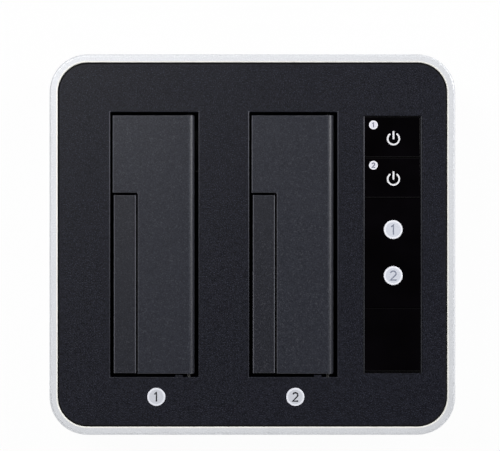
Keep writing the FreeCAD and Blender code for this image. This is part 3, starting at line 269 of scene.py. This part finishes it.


# the cover's pale edge is a painted highlight along the bays' sides, which fades towards the front and is
# weaker at the right
coverGrain = {"dark": (0.0014, 0.0017, 0.0040), "light": (0.0096, 0.0103, 0.0176), "grain": 0.5 * mm,
              "contrast": 0.12, "fleck": (0.034, 0.037, 0.056), "roughness": 0.40, "vary": 0.03,
              "depth": 0.075 * mm, "specular": 0.22, "paintedGrooveShade": 0.7 * mm, "edge": 0.3 * mm,
              "paintedEdgeHighlight": (0.095, 0.097, 0.115), "fade": {"front": 0.35, "rear": 1.6, "right": 0.55}}
# the doors' pale edge is a painted highlight along the sides of the doors and their notches
doorGrain = {"dark": (0.0075, 0.0085, 0.0140), "light": (0.0255, 0.0275, 0.0380), "grain": 0.5 * mm,
             "contrast": 0.14, "fleck": (0.050, 0.052, 0.063), "roughness": 0.30, "vary": 0.0,
             "depth": 0.014 * mm, "specular": 0.5, "edge": 0.35 * mm, "paintedEdgeHighlight": (0.135, 0.138, 0.160)}
slimGrain = {**doorGrain, "dark": (0.0045, 0.0052, 0.0090), "light": (0.0170, 0.0182, 0.0265),
             "fleck": (0.038, 0.039, 0.048), "roughness": 0.32}
wellGrain = {"dark": (0.004, 0.004, 0.005), "light": (0.012, 0.012, 0.014), "grain": 0.8 * mm,
             "contrast": 0.12, "fleck": (0.03, 0.03, 0.03), "roughness": 0.5, "vary": 0.04,
             "depth": 0.02 * mm, "specular": 0.3}
baseGrain = {**wellGrain, "dark": (0.0040, 0.0042, 0.0055), "light": (0.0130, 0.0135, 0.0175),
             "grain": 0.9 * mm, "fleck": (0.035, 0.036, 0.044), "depth": 0.04 * mm}
mould = {"coarse": 3, "fineShare": 0.8, "clouds": 22 * mm, "cloudShare": 0.12, "fleckGrain": 0.8,
         "fleckStops": [(0.0, 0.0), (0.64, 0.0), (0.74, 1.0)], "fleckShare": 0.8, "bump": 0.8,
         "edgeHighlightShare": 0.6, "polishGloss": 0.12, "edgeBandSoft": 0.08 * mm, "fadeFrom": -25 * mm,
         "fadeTo": 45 * mm, "shade": (0.0008, 0.0008, 0.001), "shadeShare": 0.9, "shadeRoughness": 0.5,
         "grooveSoft": 0.15 * mm, "lipReach": 2.2 * mm, "lipSoft": 0.02 * mm}
# painted highlight along the hinge barrels, brighter towards the rear and broken into patches
barrel = {"near": 0.6 * mm, "far": 2.15 * mm, "soft": 0.3 * mm, "paintedHighlight": (0.085, 0.087, 0.10),
          "halfLength": 45 * mm, "frontShare": 0.25, "rearShare": 0.9, "patchy": 0.4}


def sparkPlastic(name, size, edges=(), barrels=(), floor=None):
    # black plastic from a spark-eroded mould: smoother along the sides of the given outlines, with a
    # painted highlight there, a painted highlight along the hinge barrels that end at the given places,
    # and painted shade, near black, below a floor height and in the groove at the rim. The painted
    # highlights are colour, and where they fade towards the front that is colour too
    finish = Finish(name, Specular_IOR_Level=size["specular"])
    fine = finish.noise(size["grain"], 1.0)
    coarse = finish.noise(size["grain"] * mould["coarse"])
    clouds = finish.noise(mould["clouds"])
    pits = fine * mould["fineShare"] + coarse * (1 - mould["fineShare"])
    ground = finish.slide(pits, 0.5 - size["contrast"], 0.5 + size["contrast"])
    tone = finish.blend(ground, size["dark"], size["light"])
    tone = finish.blend(finish.spread(clouds, 0.0, mould["cloudShare"]), tone, size["light"])
    flecks = finish.steps(finish.noise(size["grain"] * mould["fleckGrain"], 0.0), mould["fleckStops"])
    tone = finish.blend(flecks * mould["fleckShare"], tone, size["fleck"])
    rough = finish.spread(coarse, size["roughness"] - size["vary"], size["roughness"] + size["vary"])
    across, along, height = [finish.axis(finish.place(), number) for number in range(3)]
    # painted highlight along each hinge barrel, brighter towards the rear
    for end in barrels:
        paintedHighlight = finish.band(across, end - barrel["far"], end - barrel["near"], barrel["soft"])
        rearward = finish.slide(along, -barrel["halfLength"], barrel["halfLength"],
                                barrel["frontShare"], barrel["rearShare"])
        patches = finish.spread(pits, barrel["patchy"], 1.0)
        tone = finish.blend(paintedHighlight * rearward * patches, tone, barrel["paintedHighlight"])
    # painted highlight along the sides of each outline, where the edge is also smoother
    for outline in edges:
        edge = finish.sides(outline, size["edge"], mould["edgeBandSoft"])
        if "fade" in size:
            fade = size["fade"]
            rearward = finish.slide(along, mould["fadeFrom"], mould["fadeTo"], fade["front"], fade["rear"])
            atLeft = finish.maths("LESS_THAN", across, outline["middle"][0])
            edge = edge * rearward * (atLeft * (1 - fade["right"]) + fade["right"])
        tone = finish.blend(edge * mould["edgeHighlightShare"], tone, size["paintedEdgeHighlight"])
        rough = rough - edge * mould["polishGloss"]
    # painted shade: near black in the groove between the rim and the cover
    if "paintedGrooveShade" in size:
        paintedGrooveShade = finish.band(finish.inward(shellOutline), 0.0, shellOutline["rim"] + size["paintedGrooveShade"],
                             mould["grooveSoft"])
        tone = finish.blend(paintedGrooveShade * mould["shadeShare"], tone, mould["shade"])
        rough = rough + paintedGrooveShade * mould["shadeRoughness"]
    # painted shade: near black below the floor height, down in the bay
    if floor is not None:
        below = finish.maths("LESS_THAN", height, floor)
        tone = finish.blend(below * mould["shadeShare"], tone, mould["shade"])
        rough = rough + below * mould["shadeRoughness"]
        lips = 0.0
        for outline in edges:
            left = outline["middle"][0] - outline["width"] / 2
            lips = lips + finish.band(across, left - mould["lipReach"], left, mould["lipSoft"])
        # the stop lips are set as near-black metal, which takes their gleam away in the gap
        finish.set(Metallic=below * finish.maths("MINIMUM", lips, 1.0))
    return finish.set(Base_Color=tone, Roughness=rough,
                      Normal=finish.bump(pits, size["depth"], mould["bump"]))


# pale, worn and lit tones are a painted highlight along the frame's two long edges, varied by a noise
strip = {"halfWidth": 11.5 * mm, "edge": 0.4 * mm, "black": (0.0008, 0.0006, 0.001),
         "pale": (0.022, 0.023, 0.027), "paintedHighlight": (0.031, 0.032, 0.038), "lit": (0.095, 0.096, 0.112),
         "litFrom": 0.0, "litTo": 45 * mm, "frontShare": 0.12, "rightShare": 0.25, "wear": 1.4 * mm,
         "harsh": 0.6, "rough": (0.22, 0.34), "specular": 0.2}


def stripFrame():
    # gloss black like the plates inside it, with a painted highlight along its two long
    # sides, which is brightest at the rear of the left one
    low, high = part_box("control_frame")
    middle = (low.x + high.x) / 2
    finish = Finish("stripFrame", Specular_IOR_Level=strip["specular"])
    across, along = finish.axis(finish.place(), 0), finish.axis(finish.place(), 1)
    wear = finish.noise(strip["wear"], 2.0, strip["harsh"])
    pale = finish.blend(finish.spread(wear, 0.0, 1.0), strip["pale"], strip["paintedHighlight"])
    rearward = finish.slide(along, strip["litFrom"], strip["litTo"], strip["frontShare"], 1.0)
    atLeft = finish.maths("LESS_THAN", across, middle)
    pale = finish.blend(rearward * (atLeft * (1 - strip["rightShare"]) + strip["rightShare"]), pale,
                        strip["lit"])
    away = finish.maths("ABSOLUTE", across - middle)
    edge = finish.maths("GREATER_THAN", away, strip["halfWidth"] - strip["edge"])
    return finish.set(Base_Color=finish.blend(edge, strip["black"], pale),
                      Roughness=finish.spread(wear, *strip["rough"]))


piano = {"dark": (0.0004, 0.0002, 0.0005), "light": (0.0012, 0.0008, 0.0015), "specular": 0.22,
         "marks": 2.2 * mm, "detail": 4.0, "harsh": 0.6, "stretch": (1, 0.18, 1), "smudges": 14 * mm,
         "rough": (0.05, 0.08), "smudgeRough": 0.04, "depth": 0.002 * mm, "bump": 0.2}


def pianoBlack():
    # polished black acrylic with the faintest wiping marks
    finish = Finish("pianoBlack", Specular_IOR_Level=piano["specular"])
    marks = finish.noise(piano["marks"], piano["detail"], piano["harsh"], piano["stretch"])
    smudge = finish.noise(piano["smudges"])
    tone = finish.blend(finish.spread(smudge, 0.0, 1.0), piano["dark"], piano["light"])
    rough = finish.spread(marks, *piano["rough"]) + finish.spread(smudge, 0.0, piano["smudgeRough"])
    return finish.set(Base_Color=tone, Roughness=rough,
                      Normal=finish.bump(marks, piano["depth"], piano["bump"]))


# the face and the rim of each sort of white disc
discTones = {"bay_badge": ((0.57, 0.585, 0.64), (0.80, 0.81, 0.88)),
             "status_lens": ((0.62, 0.645, 0.72), (0.86, 0.87, 0.93)),
             "key_badge": ((0.72, 0.72, 0.80), (0.84, 0.84, 0.90))}
disc = {"grain": 0.5 * mm, "shade": 0.93, "shadeShare": 0.4, "specular": 0.4, "rough": (0.34, 0.44),
        "rim": [(0.0, 0.0), (0.76, 0.0), (0.86, 1.0), (1.0, 1.0)], "depth": 0.004 * mm, "bump": 0.4}


def whiteDisc(node):
    # white plastic with a paler turned rim
    low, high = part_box(node)
    middle = ((low.x + high.x) / 2, (low.y + high.y) / 2, high.z)
    finish = Finish(node + "White", Specular_IOR_Level=disc["specular"])
    away = finish.vector("DISTANCE", finish.place(), middle, "Value")
    rim = finish.steps(away * (2 / (high.x - low.x)), disc["rim"])
    fine = finish.noise(disc["grain"])
    face, edge = discTones[node[:-2]]
    shaded = [shade * disc["shade"] for shade in face]
    tone = finish.blend(finish.spread(fine, 0.0, disc["shadeShare"]), face, shaded)
    return finish.set(Base_Color=finish.blend(rim, tone, edge), Roughness=finish.spread(fine, *disc["rough"]),
                      Normal=finish.bump(fine, disc["depth"], disc["bump"]))


# finishes that vary between two tones with one fine grain
metal = {"metallic": 1.0, "detail": 3.0}
drawn = {**metal, "grain": 0.12 * mm, "harsh": 0.6, "stretch": (1, 0.04, 1), "rough": (0.2, 0.32),
         "depth": 0.003 * mm, "bump": 0.3}
ink = {"grain": 0.16 * mm, "share": 0.6, "rough": (0.44, 0.56)}
fineGrains = {
    "drawnSteel": {**drawn, "dark": (0.50, 0.50, 0.52), "light": (0.68, 0.68, 0.70)},
    # steel coloured near black, as painted shade in the hinge gaps
    "paintedShadeSteel": {**drawn, "dark": (0.022, 0.021, 0.021), "light": (0.05, 0.048, 0.047)},
    "goldContact": {**metal, "grain": 0.2 * mm, "dark": (0.80, 0.56, 0.22), "light": (0.90, 0.68, 0.32),
                    "rough": (0.18, 0.3)},
    "footRubber": {"specular": 0.3, "grain": 0.4 * mm, "detail": 3.0, "dark": (0.018, 0.018, 0.019),
                   "light": (0.032, 0.032, 0.034), "rough": (0.75, 0.9), "depth": 0.02 * mm, "bump": 0.5},
    "chipEpoxy": {"specular": 0.4, "grain": 0.15 * mm, "detail": 3.0, "dark": (0.012, 0.012, 0.013),
                  "light": (0.022, 0.022, 0.024), "rough": (0.5, 0.65), "depth": 0.01 * mm, "bump": 0.5},
    "canSleeve": {"metallic": 0.6, "grain": 0.3 * mm, "detail": 3.0, "stretch": (1, 1, 0.1),
                  "dark": (0.35, 0.36, 0.38), "light": (0.55, 0.56, 0.58), "rough": (0.3, 0.42)},
    "clearResin": {"specular": 0.6, "grain": 0.3 * mm, "dark": (0.72, 0.72, 0.58),
                   "light": (0.82, 0.82, 0.70), "rough": (0.12, 0.2)},
    "numeralInk": {**ink, "dark": (0.002, 0.003, 0.008), "light": (0.005, 0.006, 0.012)},
    "lensNumeralInk": {**ink, "dark": (0.19, 0.21, 0.28), "light": (0.23, 0.25, 0.32)},
    "keyNumeralInk": {**ink, "dark": (0.10, 0.11, 0.17), "light": (0.14, 0.15, 0.21)},
    "powerSymbolInk": {**ink, "dark": (0.80, 0.80, 0.83), "light": (0.74, 0.74, 0.77), "rough": (0.34, 0.46)},
}


def fineGrained(name):
    size = fineGrains[name]
    finish = Finish(name, Metallic=size.get("metallic", 0.0), Specular_IOR_Level=size.get("specular", 0.5))
    grain = finish.noise(size["grain"], size.get("detail", 2.0), size.get("harsh", 0.5),
                         size.get("stretch", (1, 1, 1)))
    tone = finish.blend(finish.spread(grain, 0.0, size.get("share", 1.0)), size["dark"], size["light"])
    if "depth" in size:
        finish.set(Normal=finish.bump(grain, size["depth"], size["bump"]))
    return finish.set(Base_Color=tone, Roughness=finish.spread(grain, *size["rough"]))


# the pin's tones are painted shade of the hinge gap, near black over the rear half
pin = {"dark": (0.08, 0.08, 0.08), "light": (0.14, 0.14, 0.14), "rear": (0.003, 0.003, 0.003),
       "rough": (0.25, 0.35), "rearRough": 0.3}


def hingePin():
    # drawn steel, with painted shade: darker than bare steel, and near black over its rear half, so that only
    # the front end shows bright
    finish = Finish("hingePin", Metallic=1.0)
    lines = finish.noise(drawn["grain"], drawn["detail"], drawn["harsh"], drawn["stretch"])
    bare = finish.blend(finish.spread(lines, 0.0, 1.0), pin["dark"], pin["light"])
    atRear = finish.maths("GREATER_THAN", finish.axis(finish.place(), 1), 0.0)
    return finish.set(Base_Color=finish.blend(atRear, bare, pin["rear"]),
                      Roughness=finish.spread(lines, *pin["rough"]) + atRear * pin["rearRough"])


mask = {"track": (0.012, 0.13, 0.06), "ground": (0.006, 0.075, 0.035), "dark": (0.004, 0.05, 0.025),
        "pitch": 5 * mm, "stops": [(0.0, 1.0), (0.035, 1.0), (0.05, 0.0)], "trackShare": 0.8,
        "weave": 0.35 * mm, "weaveShare": 0.25, "rough": (0.28, 0.36), "depth": 0.02 * mm, "bump": 0.5}


def solderMask():
    # green board with a net of paler tracks
    finish = Finish("solderMask")
    runs = finish.node("ShaderNodeTexVoronoi", {"feature": "DISTANCE_TO_EDGE"},
                       {"Vector": finish.place(), "Scale": 1 / mask["pitch"]})
    tracks = finish.steps(runs, mask["stops"])
    weave = finish.noise(mask["weave"])
    tone = finish.blend(tracks * mask["trackShare"], mask["ground"], mask["track"])
    tone = finish.blend(finish.spread(weave, 0.0, mask["weaveShare"]), tone, mask["dark"])
    return finish.set(Base_Color=tone, Roughness=finish.spread(weave, *mask["rough"]),
                      Normal=finish.bump(tracks, mask["depth"], mask["bump"]))


ribbon = {"pitch": 1 * mm, "stops": [(0.4, 0.0), (0.6, 1.0)], "film": (0.66, 0.66, 0.64),
          "metal": (0.42, 0.43, 0.45), "metalShare": 0.5, "grain": 0.5 * mm,
          "rough": (0.3, 0.4), "depth": 0.03 * mm, "bump": 0.4}


def ribbonFilm():
    # white film over flat conductors that run lengthways
    finish = Finish("ribbonFilm")
    wave = finish.maths("SINE", finish.axis(finish.place(), 1) * (2 * math.pi / ribbon["pitch"]))
    conductors = finish.steps(wave * 0.5 + 0.5, ribbon["stops"])
    tone = finish.blend(conductors * ribbon["metalShare"], ribbon["film"], ribbon["metal"])
    fine = finish.noise(ribbon["grain"])
    return finish.set(Base_Color=tone, Roughness=finish.spread(fine, *ribbon["rough"]),
                      Normal=finish.bump(conductors, ribbon["depth"], ribbon["bump"]))


shadeHeight = doorFace - bay["shade"]
notches = [slimOutline(place, bay["notch"]) for place in bothBays]
finishes = {
    "shell": blastedAluminium(),
    "cover": sparkPlastic("coverPlastic", coverGrain, [bayOutline(place) for place in bothBays]),
    "door": sparkPlastic("doorPlastic", doorGrain, [doorOutline(place) for place in bothBays] + notches,
                         [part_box("drive_door_" + place)[1].x for place in bothBays], shadeHeight),
    "slim": sparkPlastic("slimDoorPlastic", slimGrain, [slimOutline(place) for place in bothBays],
                         floor=shadeHeight),
    "inner": sparkPlastic("wellPlastic", wellGrain),
    "base": sparkPlastic("basePlastic", baseGrain),
    "strip": stripFrame(),
    "gloss": pianoBlack(),
    "pin": hingePin(),
    "board": solderMask(),
    "ribbon": ribbonFilm(),
    **{name: fineGrained(name) for name in fineGrains},
}

# the finish of each node, by the first words of its name
nodeFinish = {
    "side_shell": "shell", "top_cover": "cover", "base_cover": "base", "foot": "footRubber",
    "drive_door": "door", "slim_door": "slim", "door_pin": "pin", "slim_pin": "paintedShadeSteel",
    "door_spring": "paintedShadeSteel", "slim_spring": "paintedShadeSteel", "drive_well": "inner",
    "sata_socket": "inner", "sata_contacts": "goldContact", "main_board": "board", "key_board": "board",
    "board_chips": "chipEpoxy", "board_capacitors": "canSleeve", "board_screws": "drawnSteel",
    "case_screws": "drawnSteel", "well_screws": "drawnSteel", "panel_screws": "drawnSteel",
    "rear_port_plate": "inner", "dc_jack_pin": "goldContact", "dc_jack": "inner",
    "usb_socket": "drawnSteel", "usb_tongue": "chipEpoxy", "control_frame": "strip",
    "status_window": "gloss", "blank_plate": "gloss", "power_key": "gloss", "tact_switch": "chipEpoxy",
    "switch_plunger": "chipEpoxy", "status_leds": "clearResin", "flat_cable": "ribbon",
}


def finishOf(node):
    if node[:-2] in discTones:
        return whiteDisc(node)
    return finishes[nodeFinish[max((word for word in nodeFinish if node.startswith(word)), key=len)]]


for node in nodes:
    nodes[node].data.materials.clear()
    nodes[node].data.materials.append(finishOf(node).material)
print("finishes on", len(nodes), "nodes")

# each spring sort, with the parts at its front end and at its rear end, the second being the door
# that it closes; only the sorts are used, and each spring is copied as it stands, in place of its part
springs = {"door_spring": ("housing", "drive_door"), "slim_spring": ("drive_door", "slim_door")}


def windSpring(sort, place):
    node = f"{sort}_{place}"
    coil = bpy.data.objects.new("wound_" + node, nodes[node].data.copy())
    coil.matrix_world = nodes[node].matrix_world.copy()
    bpy.context.scene.collection.objects.link(coil)
    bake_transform(coil)
    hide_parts(node)


for place in bothBays:
    for sort in springs:
        windSpring(sort, place)

inkThickness = 0.02 * mm


def printMark(name, loops, z, inkName, body):
    # a flat mark: each loop of points is a face, raised by the ink's thickness
    mesh = bpy.data.meshes.new(name)
    build = bmesh.new()
    for loop in loops:
        face = build.faces.new([build.verts.new((x, y, z)) for x, y in loop])
        if face.normal.z < 0:
            face.normal_flip()
    lifted = bmesh.ops.extrude_face_region(build, geom=build.faces[:])
    for vert in (part for part in lifted["geom"] if isinstance(part, bmesh.types.BMVert)):
        vert.co.z += inkThickness
    bmesh.ops.recalc_face_normals(build, faces=build.faces[:])
    build.to_mesh(mesh)
    build.free()
    mesh.materials.append(finishes[inkName].material)
    piece = bpy.data.objects.new(name, mesh)
    bpy.context.scene.collection.objects.link(piece)
    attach(piece, body)


def arc(centre, radius, start, end, steps):
    turns = [start + (end - start) * step / steps for step in range(steps + 1)]
    return [(centre[0] + radius * math.cos(turn), centre[1] + radius * math.sin(turn)) for turn in turns]


pen = {"sharpest": 0.5, "endSteps": 12}  # at a sharp bend the corner reaches no more than 1 / sharpest


def stroke(line, width, roundEnds=False):
    # the outline of a pen line: down its left side, round the end and back up its right side
    half = width / 2
    points = [Vector(point) for point in line]
    sides = {1: [], -1: []}
    for number, point in enumerate(points):
        before = (point - points[number - 1]).normalized() if number else None
        after = (points[number + 1] - point).normalized() if number + 1 < len(points) else None
        along = ((before or after) + (after or before)).normalized()
        reach = half / max(pen["sharpest"], along.dot(after or before))
        for side in sides:
            sides[side].append(point + Vector((-along.y, along.x)) * reach * side)
    ends = []
    for tip, inner in ((points[-1], points[-2]), (points[0], points[1])):
        out = (tip - inner).normalized()
        turn = math.atan2(out.y, out.x)
        cap = arc(tip, half, turn + math.pi / 2, turn - math.pi / 2, pen["endSteps"])
        ends.append(cap[1:-1] if roundEnds else [])
    left, right = [[tuple(point) for point in sides[side]] for side in (1, -1)]
    return left + ends[0] + right[::-1] + ends[1]


powerSymbol = {"radius": 2.28 * mm, "stroke": 0.66 * mm, "opening": math.radians(39), "steps": 72,
               "barTop": 2.7 * mm, "barFoot": 0.1 * mm, "barStroke": 0.72 * mm,
               "side": 0.3 * mm, "forward": -0.5 * mm}


def drawPowerSymbol(node):
    low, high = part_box(node)
    size = powerSymbol
    x = (low.x + high.x) / 2 + size["side"]
    y = (low.y + high.y) / 2 + size["forward"]
    start = math.pi / 2 + size["opening"]
    ring = arc((x, y), size["radius"], start, start + 2 * (math.pi - size["opening"]), size["steps"])
    bar = [(x, y + size["barTop"]), (x, y + size["barFoot"])]
    loops = [stroke(ring, size["stroke"], True), stroke(bar, size["barStroke"], True)]
    printMark("power_symbol_" + node[-1], loops, high.z, "powerSymbolInk", node)


# pen lines of the two digits, one unit high and centred
digits = {
    "1": [(-0.19, 0.27), (0.02, 0.46), (0.02, -0.5)],
    "2": arc((0, 0.2), 0.255, math.radians(165), math.radians(-38), 16) + [(-0.25, -0.45), (0.3, -0.45)],
}
numerals = {
    "bay_badge": {"height": 3.7 * mm, "width": 3.8 * mm, "pen": 0.155, "ink": "numeralInk"},
    "status_lens": {"height": 3.85 * mm, "width": 4.4 * mm, "pen": 0.14, "ink": "lensNumeralInk"},
    "key_badge": {"height": 1.9 * mm, "width": 2.1 * mm, "pen": 0.19, "ink": "keyNumeralInk"},
}


def drawNumeral(sort, place):
    # the plain digit of its bay, centred on the disc
    node = f"{sort}_{place}"
    size = numerals[sort]
    low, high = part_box(node)
    middle = (low + high) / 2
    line = [(middle.x + x * size["width"], middle.y + y * size["height"]) for x, y in digits[place]]
    body = "power_key_" + place if sort == "key_badge" else "housing"
    printMark(node + "_numeral", [stroke(line, size["pen"] * size["height"])], high.z, size["ink"], body)


for place in bothBays:
    drawPowerSymbol("power_key_" + place)
    for sort in numerals:
        drawNumeral(sort, place)
print("marks drawn")

studio = {"floorWhite": 0.82, "floorRoughness": 0.9, "floorSpecular": 0.1, "floorGlow": 0.96,
          "floorDrop": 0.05 * mm, "span": 4.0, "sky": [(0.25, 0.9), (0.72, 0.05)]}


def makeFloor():
    # pale, seen by the camera almost as plain white, and see-through from below
    half = studio["span"] / 2
    corners = [(x * half, y * half, -studio["floorDrop"]) for x, y in ((-1, -1), (1, -1), (1, 1), (-1, 1))]
    mesh = bpy.data.meshes.new("floor")
    mesh.from_pydata(corners, [], [(0, 1, 2, 3)])
    finish = Finish("studioFloor", Base_Color=color(studio["floorWhite"]),
                    Roughness=studio["floorRoughness"], Specular_IOR_Level=studio["floorSpecular"])
    seen = finish.maths("MAXIMUM", finish.ray("Camera"), finish.ray("Glossy"))
    seen = finish.maths("MAXIMUM", seen, finish.ray("Transmission"))
    glow = finish.node("ShaderNodeEmission", {}, {"Color": color(1.0), "Strength": 1.0})
    plain = Wire(finish, finish.shader.outputs[0])
    mixed = finish.node("ShaderNodeMixShader", {}, {0: seen * studio["floorGlow"], 1: plain, 2: glow})
    fromBelow = finish.node("ShaderNodeNewGeometry", {}, {}, "Backfacing")
    clear = finish.node("ShaderNodeBsdfTransparent", {}, {})
    mixed = finish.node("ShaderNodeMixShader", {}, {0: fromBelow, 1: mixed, 2: clear})
    finish.feed(finish.tree.nodes["Material Output"].inputs["Surface"], mixed)
    mesh.materials.append(finish.material)
    floor = bpy.data.objects.new("floor", mesh)
    bpy.context.scene.collection.objects.link(floor)


def makeWorld():
    # white round the horizon and dim overhead, as in a studio with a dark ceiling
    world = bpy.data.worlds.new("studio")
    bpy.context.scene.world = world
    world.use_nodes = True
    graph = Graph(world.node_tree)
    place = graph.node("ShaderNodeTexCoord", {}, {}, "Generated")
    sky = graph.steps(graph.axis(place, 2), studio["sky"])
    backdrop = graph.blend(graph.ray("Camera"), sky, 1.0)
    graph.feed(graph.tree.nodes["Background"].inputs["Color"], backdrop)


lamps = {
    "key": {"at": (-0.34, 0.40, 0.95), "across": 0.40, "along": 0.40, "power": 6.0},
    "hinge": {"at": (0.74, 0.34, 0.64), "across": 0.42, "along": 0.6, "power": 4.6},
    "front": {"at": (-0.15, -0.8, 0.6), "across": 0.9, "along": 0.3, "power": 1.4},
}
lampAim = Vector((0, 0, 0.06))


def makeLamp(name):
    # faces the object, with its length towards the rear
    size = lamps[name]
    light = bpy.data.lights.new(name + "Lamp", "AREA")
    light.shape = "RECTANGLE"
    light.size, light.size_y = size["across"], size["along"]
    light.energy = size["power"]
    lamp = bpy.data.objects.new(name + "Lamp", light)
    spot = Vector(size["at"])
    back = (spot - lampAim).normalized()
    length = (Vector((0, 1, 0)) - back * back.y).normalized()
    turn = Matrix((length.cross(back), length, back)).transposed().to_4x4()
    lamp.matrix_world = Matrix.Translation(spot) @ turn
    lamp.visible_camera = False
    bpy.context.scene.collection.objects.link(lamp)


framing = {"height": 1.2, "width": 0.197, "side": -0.95 * mm, "rear": 7.5 * mm, "sensor": 36.0}


def makeCamera():
    # looks straight down, a little behind the middle of the top
    lens = bpy.data.cameras.new("camera")
    lens.sensor_width = framing["sensor"]
    lens.lens = framing["sensor"] * framing["height"] / framing["width"]
    camera = bpy.data.objects.new("camera", lens)
    low, high = cadBox
    camera.location = ((low.x + high.x) / 2 + framing["side"], (low.y + high.y) / 2 + framing["rear"],
                       high.z + framing["height"])
    bpy.context.scene.collection.objects.link(camera)
    bpy.context.scene.camera = camera


makeFloor()
makeWorld()
for name in lamps:
    makeLamp(name)
makeCamera()
bpy.context.scene.view_settings.view_transform = "Standard"
print("stage, lamps and camera made")
